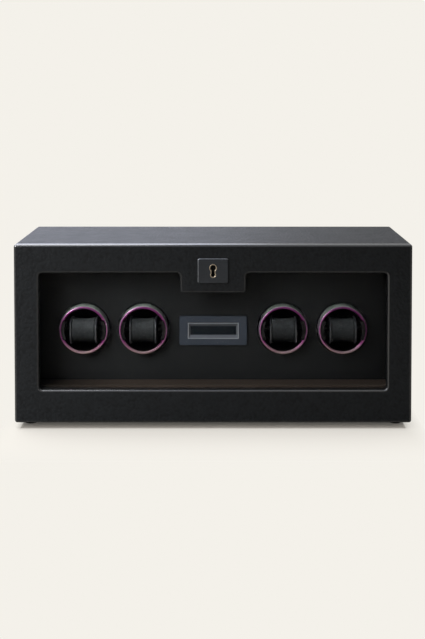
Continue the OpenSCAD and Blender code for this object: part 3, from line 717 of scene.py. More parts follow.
def cut(piece: Piece, *tools: Piece) -> None:
    """Takes solids out of a piece, and deletes them.

    Args:
        piece: the piece that is cut.
        tools: the solids that cut it.
    """
    for tool in tools:
        knife = piece.modifiers.new("knife", "BOOLEAN")
        knife.operation, knife.solver, knife.object = "DIFFERENCE", "EXACT", tool
    bake(piece)
    for tool in tools:
        bpy.data.objects.remove(tool)


def smooth(piece: Piece, angle: float = 32.0) -> None:
    """Shades a piece smooth, with creases where its faces turn sharply, and keeps its flats flat.

    Args:
        piece: the piece.
        angle: faces that meet at more than this, in degrees, keep a crease.
    """
    shell = bmesh.new()
    shell.from_mesh(piece.data)
    for face in shell.faces:
        face.smooth = True
    for edge in shell.edges:
        edge.smooth = len(edge.link_faces) == 2 and edge.calc_face_angle(math.pi) < math.radians(angle)
    shell.to_mesh(piece.data)
    shell.free()
    weigh = piece.modifiers.new("flats", "WEIGHTED_NORMAL")
    weigh.keep_sharp, weigh.weight = True, 90
    bake(piece)


def prism(outline: Sequence[Point2], start: float, end: float, axis: Axis = Axis.Y) -> Piece:
    """Makes a solid from an outline.

    Args:
        outline: points of X and Z for a solid along Y, and of Y and Z for one along X.
        start: where it starts along the axis.
        end: where it ends.
        axis: X or Y.

    Returns:
        The solid.
    """
    shell = bmesh.new()
    if axis is Axis.Y:
        loops = [facing(outline, y) for y in (start, end)]
    else:
        loops = [[Vector((x, y, z)) * MM for y, z in outline] for x in (start, end)]
    for row in skin(shell, loops):
        shell.faces.new(row)
    return finish_shell(shell, "cutter")


def lathe(
    profile: Sequence[Point2], axis: Axis, centre: Vector, name: str, steps: int = 96, closed: bool = False
) -> Piece:
    """Turns a profile round an axis, with a map named "round": u once round, v along the profile.

    Args:
        profile: points of the radius and the place along the axis.
        axis: X or Y.
        centre: a point on the axis.
        name: the object's name.
        steps: how many faces go round.
        closed: whether the profile's end joins its start.

    Returns:
        The object.
    """
    shell = bmesh.new()
    chart = shell.loops.layers.uv.new("round")
    rows = []
    for i in range(steps):
        turn = 2 * math.pi * i / steps
        c, s = math.cos(turn), math.sin(turn)
        spots = [(a, r * c, r * s) if axis is Axis.X else (r * c, a, r * s) for r, a in profile]
        rows.append([shell.verts.new((Vector(p) + centre) * MM) for p in spots])
    last = len(profile)
    for i in range(steps):
        for k in range(last if closed else last - 1):
            m = (k + 1) % last
            corners = ((i, k), (i, m), (i + 1, m), (i + 1, k))
            face = shell.faces.new([rows[a % steps][b] for a, b in corners])
            for loop, (a, b) in zip(face.loops, ((i, k), (i, k + 1), (i + 1, k + 1), (i + 1, k))):
                loop[chart].uv = (a / steps, b / last)
    return finish_shell(shell, name)


def wear(piece: Piece, *finishes: Finish) -> None:
    """Gives a piece its materials, in place of those that it has.

    Args:
        piece: the piece.
        finishes: the finishes, in the order of its faces' slots.
    """
    piece.data.materials.clear()
    for finish in finishes:
        piece.data.materials.append(finish.material())


def seat(piece: Piece, body: str, slot: str, *nodes: str) -> Piece:
    """Puts a piece on a body and hides the nodes that it stands for.

    Args:
        piece: the finished piece.
        body: the body that it moves with.
        slot: the record's material slot; not used.
        nodes: the CAD nodes that it replaces.

    Returns:
        The piece.
    """
    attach(piece, body)
    if nodes:
        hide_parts(*nodes)
    LOG.info("%s rides %s: %d faces", piece.name, body, len(piece.data.polygons))
    return piece


# ------------------------------------------------------------------ repeated pieces


@dataclass
class Scatter:
    """Sets copies of a small piece at places along given directions, by Geometry Nodes."""

    copy: Piece
    finish: Finish

    def tree(self) -> Tree:
        """Builds the tree: "aim" is where each copy's Z points, and "roll" its X.

        Returns:
            The tree.
        """
        tree = bpy.data.node_groups.new("set_" + self.copy.name, "GeometryNodeTree")
        for name, side, kind in (
            ("Places", "INPUT", "NodeSocketGeometry"),
            ("Piece", "INPUT", "NodeSocketObject"),
            ("Finish", "INPUT", "NodeSocketMaterial"),
            ("Set", "OUTPUT", "NodeSocketGeometry"),
        ):
            tree.interface.new_socket(name, in_out=side, socket_type=kind)
        given = add_node(tree, "NodeGroupInput").outputs
        spots = add_node(tree, "GeometryNodeMeshToPoints", {"Mesh": given["Places"]})
        kind, turns = "GeometryNodeInputNamedAttribute", {}
        for axis, key in (("Primary Axis", "aim"), ("Secondary Axis", "roll")):
            turns[axis] = add_node(tree, kind, {"Name": key}, data_type="FLOAT_VECTOR")
        kind = "FunctionNodeAxesToRotation"
        stand = add_node(tree, kind, turns, primary_axis="Z", secondary_axis="X")
        shape = add_node(tree, "GeometryNodeObjectInfo", {"Object": given["Piece"]}).outputs["Geometry"]
        inputs = {"Points": spots, "Instance": shape, "Rotation": stand}
        copies = add_node(tree, "GeometryNodeInstanceOnPoints", inputs)
        real = add_node(tree, "GeometryNodeRealizeInstances", {"Geometry": copies})
        inputs = {"Geometry": real, "Material": given["Finish"]}
        add_node(tree, "NodeGroupOutput", {"Set": add_node(tree, "GeometryNodeSetMaterial", inputs)})
        return tree

    def place(self, name: str, spots: Sequence[Spot]) -> Piece:
        """Sets the copies, makes them one plain mesh and deletes the piece that was copied.

        Args:
            name: the new object's name.
            spots: each copy's place in millimetres, the way its Z points, and its X.

        Returns:
            The object.
        """
        mesh = bpy.data.meshes.new(name)
        mesh.from_pydata([Vector(p) * MM for p, _, _ in spots], [], [])
        for key, column in (("aim", 1), ("roll", 2)):
            layer = mesh.attributes.new(key, "FLOAT_VECTOR", "POINT")
            layer.data.foreach_set("vector", [c for spot in spots for c in spot[column]])
        made = add_object(name, mesh)
        tree = self.tree()
        setter = made.modifiers.new("set", "NODES")
        setter.node_group = tree
        values = {"Piece": self.copy, "Finish": self.finish.material()}
        for item in tree.interface.items_tree:
            if item.name in values:
                setter[item.identifier] = values[item.name]
        made.update_tag()
        bpy.context.view_layer.update()
        bake(made)
        bpy.data.objects.remove(self.copy)
        return made


@dataclass
class Fastener:
    """A screw with a cross recess, head up along Z, its head's rim at the origin's height."""

    head_r: float
    head_h: float
    shank_r: float
    length: float
    flat: bool = True
    point: float = 2.0
    arm_length: float = 0.55
    arm_width: float = 0.16
    arm_depth: float = 0.6
    steps: int = 20

    def build(self) -> Piece:
        """Turns the screw and cuts the cross in its head. The arms are shares of the head's own sizes.

        Returns:
            The screw.
        """
        r, h, shank = self.head_r, self.head_h, self.shank_r
        if self.flat:
            head = [(0, 0), (r - 0.25, 0), (r, -0.15), (shank, -h)]
        else:
            head = [(0, h), (r * 0.6, h - 0.1), (r - 0.1, h * 0.6), (r, 0), (shank, 0)]
        tip = shank * 0.25
        profile = head + [(shank, self.point - self.length), (tip, -self.length), (0, -self.length)]
        turns = [2 * math.pi * i / self.steps for i in range(self.steps)]
        shell = bmesh.new()
        skin(shell, [[Vector((w * math.cos(a), w * math.sin(a), z)) * MM for a in turns] for w, z in profile])
        screw = finish_shell(shell, "screw")
        long, narrow, deep = r * self.arm_length, r * self.arm_width, h * self.arm_depth
        top = 0.0 if self.flat else h
        arms = []
        for x, y in ((long, narrow), (narrow, long)):
            cross = bmesh.new()
            bmesh.ops.create_cube(cross, size=2.0)
            for vert in cross.verts:
                vert.co = Vector((vert.co.x * x, vert.co.y * y, vert.co.z * deep + top)) * MM
            arms.append(finish_shell(cross, "arm"))
        cut(screw, *arms)
        smooth(screw, 40.0)
        return screw

    def place(self, name: str, spots: Sequence[Spot]) -> Piece:
        """Sets a screw at every spot, as one piece."""
        return Scatter(self.build(), SCREW).place(name, spots)


# ------------------------------------------------------------------ the case and its parts


@dataclass
class Case:
    """The case: what its own sizes place, and the finishes of the CAD nodes that stay."""

    width: float = 660.0
    height: float = 298.0
    base: float = 9.0
    front: float = -95.0
    back: float = 110.0
    board: float = 14.0
    rebate: float = 8.0
    foot_x: float = 308.0
    foot_rows: Point2 = (-74.0, 89.0)
    foot_seat: float = 5.5
    strike_y: float = -78.5
    strike_t: float = 1.5
    strike_screw_x: float = 12.0
    hinge_x: float = 250.0
    leaf_screw_x: float = 16.0

    def dress_nodes(self) -> None:
        """Gives every CAD node the finish of its slot."""
        for row in frame["record"]["subparts"]:
            node = frame["nodes"][row["node"]]
            wear(node, SLOTS[row["material_slot"]])
            LOG.info("%s wears %s", node.name, node.data.materials[0].name)

    def wood_screws(self) -> Piece:
        """Sets the countersunk screws of the back board, feet, strike and hinges.

        Returns:
            The screws, as one piece.
        """
        wide = self.width / 2 - self.board + self.rebate
        tall = self.height / 2 - self.board + self.rebate
        edge, middle = self.rebate / 2, self.base + self.height / 2
        back, down, forward = (0, 1, 0), (0, 0, -1), (0, -1, 0)
        spots = []
        for x, z in product((-1, 0, 1), (-1, 1)):
            place = (x * (wide - 3 * self.rebate), self.back, middle + z * (tall - edge))
            spots.append((place, back, (1, 0, z * 0.7)))
        for x, z in product((-1, 1), (-1, 1)):
            spots.append(((x * (wide - edge), self.back, middle + z * tall / 2), back, (1, 0, x * 0.4)))
        for x, y in product((-self.foot_x, self.foot_x), self.foot_rows):
            spots.append(((x, y, self.foot_seat), down, (1, 0.3, 0)))
        strike_z = self.base + self.height - self.board - self.strike_t
        for x in (-self.strike_screw_x, self.strike_screw_x):
            spots.append(((x, self.strike_y, strike_z), down, (1, 0.5, 0)))
        leaf_z = self.base + self.board / 2
        for x, near in product((-self.hinge_x, self.hinge_x), (-self.leaf_screw_x, self.leaf_screw_x)):
            spots.append(((x + near, self.front, leaf_z), forward, (1, 0, 0.6)))
        screws = Fastener(3.0, 1.8, 1.5, 14.0).place("wood_screw_set", spots)
        return seat(screws, "case", "screw_steel", "wood_screws")


@dataclass
class Door:
    """The door: a wrapped frame whose window has a tab for the lock."""

    width: float = 660.0
    height: float = 298.0
    base: float = 9.0
    front: float = -110.0
    back: float = -96.0
    edge: float = 4.2
    window_half: float = 289.0
    window_bottom: float = 64.5
    window_top: float = 259.5
    corner: float = 6.0
    tab_half: float = 54.5
    tab_bottom: float = 226.5
    soft: float = 3.4
    glass: float = -101.0
    rebate: float = 4.0
    key_z: float = 268.8
    bore: float = 18.2
    bore_skin: float = 0.6
    pivot: Point2 = (-103.0, 16.0)
    hinge_x: float = 250.0
    mortise_half: float = 6.4
    mortise_r: float = 5.0
    mortise_neck: float = 2.9
    pin_r: float = 2.0
    pin_half: float = 17.0
    steps: int = 6
    # how much the wrap is burnished: along the window's ledge, its right side and the rest of its
    # reveal, and on the frame's top edge and its other edges
    ledge_gloss: float = 1.0
    right_gloss: float = 0.3
    reveal_gloss: float = 0.12
    top_gloss: float = 0.85
    edge_gloss: float = 0.2

    def window(self, grow: float) -> list[Point2]:
        """Gives the window's outline, larger all round by grow.

        Args:
            grow: how much larger it is.

        Returns:
            The points, anticlockwise from the lower right corner.
        """
        r, t, n = self.corner + grow, max(self.corner - grow, 1.0), self.steps
        half, low, high = self.window_half + grow, self.window_bottom - grow, self.window_top + grow
        tab, foot = self.tab_half - grow, self.tab_bottom + grow
        corners = (
            (half - r, low + r, r, 270, 360),
            (half - r, high - r, r, 0, 90),
            (tab + r, high - r, r, 90, 180),
            (tab - t, foot + t, t, 0, -90),
            (t - tab, foot + t, t, -90, -180),
            (-tab - r, high - r, r, 0, 90),
            (r - half, high - r, r, 90, 180),
            (r - half, low + r, r, 180, 270),
        )
        return [point for x, z, size, a, b in corners for point in arc((x, z), size, a, b, n)]

    def outline(self, inset: float) -> list[Point2]:
        """Gives the door's outline, smaller all round by inset."""
        middle, corner = (0.0, self.base + self.height / 2), max(self.edge - inset, 0.05)
        return rounded(self.width - 2 * inset, self.height - 2 * inset, corner, middle, self.steps)

    def tools(self) -> list[Piece]:
        """Makes the solids that are cut out of the frame: for the rounded foot, the lock and the hinges.

        Returns:
            The solids.
        """
        y, z = self.pivot
        behind, under = self.back + 1, self.base - 1
        foot = [(behind, under), (behind, z)] + arc((y, z), self.back - y, 0, -90, 10) + [(y, under)]
        made = [prism(foot, -self.width, self.width, Axis.X)]
        bore = arc((0, self.key_z), self.bore, 0, 348.75, 31)
        made.append(prism(bore, self.front + self.bore_skin, behind))
        made.append(prism(Lock().keyhole(Lock.liner_wall), self.front - 1, self.front + 1))
        neck = self.mortise_neck
        eye = arc((y, z), self.mortise_r, 36, 235, 16)
        eye += [(y - neck, under), (behind, under), (behind, z + neck)]
        pin_hole = arc((y, z), self.pin_r, 0, 330, 11)
        for hinge in (-self.hinge_x, self.hinge_x):
            for shape, half in ((eye, self.mortise_half), (pin_hole, self.pin_half)):
                made.append(prism(shape, hinge - half, hinge + half, Axis.X))
        return made

    def build(self) -> Piece:
        """Builds the frame, cuts it and dresses it.

        Returns:
            The frame.
        """
        shell = bmesh.new()
        turns = [math.radians(90 * i / self.steps) for i in range(self.steps + 1)]
        outer = [facing(self.outline(0), self.back)]
        inner = []
        for a in turns:
            inset, depth = self.edge * (1 - math.cos(a)), self.edge * (1 - math.sin(a))
            outer.append(facing(self.outline(inset), self.front + depth))
            grow, depth = self.soft * (1 - math.sin(a)), self.soft * (1 - math.cos(a))
            inner.append(facing(self.window(grow), self.front + depth))
        for grow, y in ((0, self.glass), (self.rebate, self.glass), (self.rebate, self.back)):
            inner.append(facing(self.window(grow), y))
        outer_rows, inner_rows = skin(shell, outer), skin(shell, inner)
        fill(shell, outer_rows[-1], inner_rows[0])
        fill(shell, outer_rows[0], inner_rows[-1])
        piece = finish_shell(shell, "door_frame_wrapped")
        cut(piece, *self.tools())
        self.burnish(piece)
        smooth(piece)
        wear(piece, WRAP)
        return seat(piece, "door", "leather_wrap", "door_frame")

    def burnish(self, piece: Piece) -> None:
        """Marks how much the wrap is rubbed at each point of the frame.

        Args:
            piece: the frame.
        """
        mesh = piece.data
        layer = mesh.attributes.new("burnish", "FLOAT", "POINT")
        top, side, near = self.base + self.height, self.width / 2, 0.1
        for vert, value in zip(mesh.vertices, layer.data):
            x, y, z = (c / MM for c in vert.co)
            rim = min(side - abs(x), top - z, z - self.base)
            if rim > self.edge + 1 and self.front + near / 2 < y < self.glass + near:
                beside = self.right_gloss if x > self.window_half - 1 else self.reveal_gloss
                value.value = self.ledge_gloss if z < self.window_bottom + 1 else beside
            elif rim < self.edge - near and y < self.front + self.edge + near:
                value.value = self.top_gloss if top - z < self.edge - near else self.edge_gloss


@dataclass
class Lock:
    """The lock's plate on the door, the keyhole's liner, and the screws of the lock's case."""

    width: float = 50.5
    height: float = 41.0
    thick: float = 3.0
    corner: float = 3.2
    plate_z: float = 263.6
    key_z: float = 268.8
    key_r: float = 4.3
    waist: float = 2.2
    foot_r: float = 2.9
    foot_z: float = 257.2
    face: float = -110.0
    bevel: float = 2.0
    bevel_rise: float = 1.4
    liner_wall: float = 2.0
    screw_r: float = 2.6
    screw_h: float = 1.5

    def keyhole(self, grow: float) -> list[Point2]:
        """Gives the keyhole's outline: a round eye, a waist and a smaller round foot.

        Args:
            grow: how much larger it is all round.

        Returns:
            The points, anticlockwise.
        """
        eye, waist, foot = self.key_r + grow, self.waist + grow * 0.85, self.foot_r + grow
        start = math.degrees(math.asin(waist / eye)) - 90
        turn = math.degrees(math.acos(waist / foot))
        upper = arc((0, self.key_z), eye, start, 180 - start, 24)
        return upper + arc((0, self.foot_z), foot, 180 - turn, 360 + turn, 16)

    def liner(self) -> Piece:
        """Builds the rolled liner of the keyhole.

        Returns:
            The liner.
        """
        front, wall = self.face - self.thick, self.liner_wall
        lip = ((wall, -0.2), (wall - 0.4, -0.45), (0.8, -0.3), (0.2, 0.7), (0.0, 1.6))
        spans = [(wall, self.face), *((grow, front + y) for grow, y in lip), (0.0, self.face)]
        shell = bmesh.new()
        skin(shell, [facing(self.keyhole(grow), y) for grow, y in spans], closed=True)
        liner = finish_shell(shell, "keyhole_rim")
        smooth(liner, 50.0)
        wear(liner, BRASS)
        return seat(liner, "door", "keyhole_brass", "keyhole_liner")

    def plate(self) -> Piece:
        """Builds the bevelled plate with its keyhole.

        Returns:
            The plate.
        """
        shoulder, steps = self.face - self.thick + self.bevel_rise, 5
        spans = [(0.0, self.face)]
        for i in range(steps + 1):
            turn = math.radians(90 * i / steps)
            spans.append((self.bevel * (1 - math.cos(turn)), shoulder - self.bevel_rise * math.sin(turn)))
        loops = []
        for inset, y in spans:
            size = (self.width - 2 * inset, self.height - 2 * inset, self.corner - inset)
            loops.append(facing(rounded(*size, (0.0, self.plate_z)), y))
        shell = bmesh.new()
        rows = skin(shell, loops)
        fill(shell, rows[0])
        fill(shell, rows[-1])
        plate = finish_shell(shell, "lock_plate")
        cut(plate, prism(self.keyhole(self.liner_wall), self.face - self.thick - 1, self.face + 1))
        smooth(plate)
        wear(plate, PLATE, PLATE_HIGHLIGHT)
        # painted highlight: the faces that turn up or to the left get the bright finish
        for face in plate.data.polygons:
            face.material_index = int(face.normal.z > 0.35 or face.normal.x < -0.5)
        return seat(plate, "door", "escutcheon", "escutcheon_plate")

    def screws(self) -> Piece:
        """Sets the four pan-head screws that hold the lock's case to the door.

        Returns:
            The screws, as one piece.
        """
        low, high = (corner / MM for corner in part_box("lock_screws"))
        half, back = self.screw_r, high.y - self.screw_h
        spots = [
            ((x, back, z), (0, 1, 0), (1, 0, x * 0.05))
            for x in (low.x + half, high.x - half)
            for z in (low.z + half, high.z - half)
        ]
        kit = Fastener(self.screw_r, self.screw_h, 1.4, 8.0, flat=False)
        return seat(kit.place("lock_screw_set", spots), "door", "screw_steel", "lock_screws")


@dataclass
class Display:
    """The surround of the small display between the two pairs of rotors."""

    width: float = 115.0
    height: float = 50.0
    thick: float = 3.0
    corner: float = 3.2
    frame_w: float = 86.4
    frame_h: float = 27.4
    proud: float = 1.3
    groove: float = 0.7
    rim: float = 1.2
    screen_w: float = 77.8
    screen_h: float = 15.0
    pocket_w: float = 84.6
    pocket_h: float = 24.8
    panel: float = -60.0
    centre_z: float = 152.5
    soft: float = 0.8
    fine: float = 0.3

    def loops(self) -> list[Loop]:
        """Gives the surround's loops, from its back round its edge and over its frame to its pocket.

        Returns:
            The loops, of which the last joins the first.
        """
        front = self.panel - self.thick
        raised, soft, fine = front - self.proud, self.soft, self.fine
        plate, inner = (self.width, self.height), (self.frame_w, self.frame_h)
        spans = [
            (inner, 0, 0.5, self.panel + 2),
            (inner, 0, 0.5, self.panel),
            (plate, 0, self.corner, self.panel),
            (plate, 0, self.corner, front + soft),
            (plate, -0.5 * soft, self.corner - 0.25 * soft, front + 0.3 * soft),
            (plate, -2 * soft, self.corner - soft, front),
            (inner, 4 * fine, 1.1, front),
            (inner, 3 * fine, 1.0, front + self.groove),
            (inner, fine, 0.8, front + self.groove),
            (inner, 0, 0.7, front - fine),
            (inner, -fine, 0.6, raised + 0.1),
            (inner, -3 * fine, 0.5, raised),
            (inner, -2 * self.rim, 0.4, raised),
            ((self.screen_w, self.screen_h), 0, 0.3, self.panel - 1),
            ((self.pocket_w, self.pocket_h), 0, 0.3, self.panel - 1),
            ((self.pocket_w, self.pocket_h), 0, 0.3, self.panel + 2),
        ]
        middle = (0.0, self.centre_z)
        return [facing(rounded(s[0] + more, s[1] + more, r, middle, 5), y) for s, more, r, y in spans]

    def build(self) -> Piece:
        """Builds the surround as one closed band of loops, and gives its frame the brighter finishes.

        Returns:
            The surround.
        """
        shell = bmesh.new()
        skin(shell, self.loops(), closed=True)
        surround = finish_shell(shell, "display_surround_plate")
        smooth(surround, 28.0)
        wear(surround, SURROUND, SLOPE, BRIGHT)
        raised, near = self.panel - self.thick - self.proud, 0.1
        for face in surround.data.polygons:
            x, y, z = (c / MM for c in face.center)
            inside = abs(x) < self.frame_w / 2 + near and abs(z - self.centre_z) < self.frame_h / 2 + near
            sloping = abs(face.normal.y) < 0.95 and y > raised + 2 * near
            face.material_index = (1 if sloping else 2) if inside and y < self.panel - 1 else 0
        return seat(surround, "case", "display_surround", "display_bezel")


@dataclass
class Chassis:
    """The chassis behind the panel: its machine screws."""

    head_r: float = 2.75
    head_h: float = 2.0
    shank_r: float = 1.5
    length: float = 12.0
    beside: float = 2.0  # only the head's points are farther than this from the axis

    def screws(self) -> Piece:
        """Sets a pan-head screw wherever the CAD node has one, facing as that one faces.

        Returns:
            The screws, as one piece.
        """
        spots = []
        for points in self.islands(frame["nodes"]["chassis_screws"]):
            low, high = (Vector(map(pick, zip(*points))) for pick in (min, max))
            middle = (low + high) / 2
            head = [p.y for p in points if abs(p.x - middle.x) > self.beside]
            forward = sum(head) / len(head) < middle.y
            y = low.y + self.head_h if forward else high.y - self.head_h
            spots.append(((middle.x, y, middle.z), (0, -1 if forward else 1, 0), (1, 0, 0.4)))
        kit = Fastener(self.head_r, self.head_h, self.shank_r, self.length, flat=False)
        return seat(kit.place("chassis_screw_set", spots), "case", "screw_steel", "chassis_screws")

    def islands(self, node: Piece) -> list[list[Vector]]:
        """Finds the separate solids of a CAD node.

        Args:
            node: the node's object.

        Returns:
            Each solid's points in millimetres, in the order of the solids' lowest corners.
        """
        shell = bmesh.new()
        shell.from_mesh(node.data)
        bmesh.ops.remove_doubles(shell, verts=shell.verts, dist=0.01 * MM)
        shell.verts.ensure_lookup_table()
        left, found = set(range(len(shell.verts))), []
        while left:
            stack, members = [left.pop()], []
            while stack:
                vert = shell.verts[stack.pop()]
                members.append(vert.co / MM)
                near = {e.other_vert(vert).index for e in vert.link_edges} & left
                left -= near
                stack += near
            found.append(members)
        shell.free()
        return sorted(found, key=lambda points: tuple(map(min, zip(*points))))


@dataclass
class Rotor:
    """One rotor: its anodised ring, and its place for the cushion that holds a watch."""

    number: int
    x: float
    z: float = 156.0
    panel: float = -60.0
    tail: float = 3.0
    proud: float = 16.0
    lip: float = 5.0
    clear_r: float = 36.2
    front_r: float = 40.9
    base_r: float = 41.9
    inner_r: float = 40.0
    round_r: float = 2.6
    bevel: float = 1.9
    chamfer: float = 0.3
    notch_r: float = 38.8
    notch_h: float = 34.4
    notch_in: float = 20.0
    cup_gap: float = 0.6  # the cup's finish ends this far inside the ring's front
    crest: float = 0.3  # the share of its rounding at which the ring's front starts

    def profile(self) -> list[Point2]:
        """Gives the ring's section, as radius and place along Y.

        Returns:
            The points, of which the last joins the first.
        """
        back, front, small = self.panel + self.tail, self.panel - self.proud, 0.2
        points = [(self.inner_r, back), (self.base_r - self.chamfer, back)]
        points += [(self.base_r, back - self.chamfer), (self.base_r, self.panel - self.tail)]
        points += arc((self.front_r - self.round_r, front + self.round_r), self.round_r, 0, -90, 8)
        points += [(self.clear_r + small, front + self.bevel), (self.clear_r, front + self.bevel + small)]
        return points + [(self.clear_r, front + self.lip), (self.inner_r, front + self.lip)]

    def ring(self) -> Piece:
        """Turns the ring, cuts its two side notches and gives its bevel the plum film.

        Returns:
            The ring.
        """
        front, centre, near = self.panel - self.proud, Vector((self.x, 0, self.z)), 0.1
        name = f"ring_{self.number}"
        ring = lathe(self.profile(), Axis.Y, centre, name, closed=True)
        sweep = math.degrees(math.asin(self.notch_h / 2 / self.notch_r))
        tools = []
        for side, reach in ((0, self.notch_in), (180, -self.notch_in)):
            notch = arc((self.x, self.z), self.notch_r, side - sweep, side + sweep, 12)
            notch += [(self.x + reach, notch[-1][1]), (self.x + reach, notch[0][1])]
            tools.append(prism(notch, front - 1, front + self.lip))
        cut(ring, *tools)
        smooth(ring, 30.0)
        wear(ring, RING, BEVEL, CUP)
        edge = front + self.bevel + near
        for face in ring.data.polygons:
            middle = face.center / MM - centre
            radius = math.hypot(middle.x, middle.z)
            if edge < middle.y < front + self.lip + near and radius < self.front_r - self.cup_gap:
                face.material_index = 2
            elif middle.y < edge and radius < self.front_r - self.round_r * self.crest:
                face.material_index = 1
        return seat(ring, f"rotor_{self.number}", "ring_chrome", f"bezel_{name}")


@dataclass
class WatchCushion:
    """The cushion that a watch's strap goes round: a waisted roll of foam under leather.

    It is made as a round roll, and square_off then gives it its section. Its axis is lower than the
    rotor's, because the foam hangs in its frame.
    """

    width: float = 45.5
    radius: float = 24.0
    waist: float = 2.8
    centre_y: float = -57.0
    centre_z: float = 152.8
    piping: float = 1.4
    piping_sunk: float = 1.0
    seam: float = 3.6
    seam_half: float = 1.1
    pull: float = 1.6
    ripple: float = 0.12
    ripple_half: float = 2.4
    swell: float = 0.9
    half_depth: float = 24.6
    half_height: float = 22.2
    power: float = 2.5
    ahead: float = 0.6
    tuck: float = 0.6  # how much shorter the roll is than the piping, at each end
    shoulder: float = 2.2
    slack: float = 0.5  # how much thinner the roll is before it swells
    voxel: float = 1.7
    pressure: float = 4.0
    steps: int = 20
    stitches_round: int = 48
    stitch_half: float = 1.05
    stitch_r: float = 0.22
    stitch_end_r: float = 0.08
    stitch_sunk: float = 0.75
    foam: float = 0.8

    @property
    def axis(self) -> Vector:
        """A point on the roll's axis."""
        return Vector((0, self.centre_y, self.centre_z))

    def reach(self, place: float) -> float:
        """Gives the roll's radius at a place along it, measured from its middle."""
        return self.radius - self.waist * (1 - (place / (self.width / 2)) ** 2)

    def square_off(self, piece: Piece) -> None:
        """Gives a piece of the round roll the cushion's own section, a rounded block.

        Args:
            piece: the piece, whose mesh is changed.
        """
        n, axis = self.power, self.axis * MM
        for vert in piece.data.vertices:
            y, z = vert.co.y - axis.y, vert.co.z - axis.z
            r = math.hypot(y, z)
            if r < 0.001 * MM:
                continue
            share = (abs(y) / r / self.half_depth) ** n + (abs(z) / r / self.half_height) ** n
            out = share ** (-1 / n) / self.radius
            vert.co.y = axis.y + y * out - self.ahead * MM * min(r / (self.radius * MM), 1.0)
            vert.co.z = axis.z + z * out

    def roll(self) -> Piece:
        """Makes the roll, swells it as cloth over foam and draws in its two seams.

        Returns:
            The roll, centred on X = 0.
        """
        half = self.width / 2 - self.tuck
        rim = self.reach(half)
        cap = [(0.0, -0.4), (self.radius * 0.5, -0.3), (self.radius - 3.5, 0.0)]
        cap += [(rim - 1.2, 0.25), (rim - 0.4, 1.0)]
        ends = [(r, a - half) for r, a in cap]
        along = [(half - self.shoulder) * (i / 10 - 1) for i in range(21)]
        wall = [(self.reach(a) - self.slack, a) for a in along]
        profile = ends + wall + [(r, -a) for r, a in reversed(ends)]
        roll = lathe(profile, Axis.X, self.axis, "cushion_roll", 72)
        self.puff(roll)
        self.stitch_down(roll)
        smooth(roll, 60.0)
        return roll

    def puff(self, roll: Piece) -> None:
        """Runs the cloth simulation on the roll, with the swelling capped.

        Args:
            roll: the roll, whose mesh is changed.
        """
        remesh = roll.modifiers.new("voxels", "REMESH")
        remesh.mode, remesh.voxel_size, remesh.use_smooth_shade = "VOXEL", self.voxel * MM, True
        bake(roll)
        rest = [v.co.copy() for v in roll.data.vertices]
        cloth = roll.modifiers.new("cloth", "CLOTH")
        settings = cloth.settings
        settings.use_pressure, settings.uniform_pressure_force = True, self.pressure
        settings.quality, settings.mass = 6, 0.3
        settings.tension_stiffness = settings.compression_stiffness = 25.0
        settings.bending_stiffness = 2.0
        settings.effector_weights.gravity = 0.0
        cloth.point_cache.frame_start, cloth.point_cache.frame_end = 1, self.steps
        scene = bpy.context.scene
        for step in range(1, self.steps + 1):
            scene.frame_set(step)
        bake(roll)
        scene.frame_set(1)
        for vert, start in zip(roll.data.vertices, rest):
            move = vert.co - start
            vert.co = start + move * min(1.0, self.swell * MM / max(move.length, 1e-9))
        detail = roll.modifiers.new("detail", "SUBSURF")
        detail.levels = detail.render_levels = 1
        bake(roll)

    def stitch_down(self, roll: Piece) -> None:
        """Pulls the leather in along its two seams, and ripples it a little beside them.

        Args:
            roll: the roll, whose mesh is changed.
        """
        axis, core = self.axis * MM, self.radius / 2 * MM
        line = (self.width / 2 - self.seam) * MM
        for vert in roll.data.vertices:
            across = Vector((0, vert.co.y - axis.y, vert.co.z - axis.z))
            r = across.length
            if r < core:
                continue
            gap = abs(vert.co.x) - line
            turn = math.atan2(across.z, across.y)
            pull = self.pull * math.exp(-((gap / (self.seam_half * MM)) ** 2))
            wave = self.ripple * math.sin(17 * turn + 3 * math.sin(5 * turn))  # uneven puckers
            wave *= math.exp(-((gap / (self.ripple_half * MM)) ** 2))
            limit = self.reach(min(abs(vert.co.x) / MM, self.width / 2)) * MM
            vert.co += across * (min(r + (wave - pull) * MM, limit) / r - 1)

    def cord(self) -> Piece:
        """Makes the piping round both ends, as one piece centred on X = 0.

        Returns:
            The piping.
        """
        shell = bmesh.new()
        around, section, mean = 96, 10, self.radius - self.piping_sunk
        turns = [2 * math.pi * i / around for i in range(around)]
        bends = [2 * math.pi * k / section for k in range(section)]
        for side in (-1, 1):
            at = side * (self.width / 2 - self.piping)
            ring = [(at + self.piping * math.sin(a), mean + self.piping * math.cos(a)) for a in bends]
            rows = [
                [(Vector((x, r * math.cos(turn), r * math.sin(turn))) + self.axis) * MM for x, r in ring]
                for turn in turns
            ]
            skin(shell, rows, closed=True)
        piece = finish_shell(shell, "cushion_cord")
        smooth(piece, 60.0)
        return piece

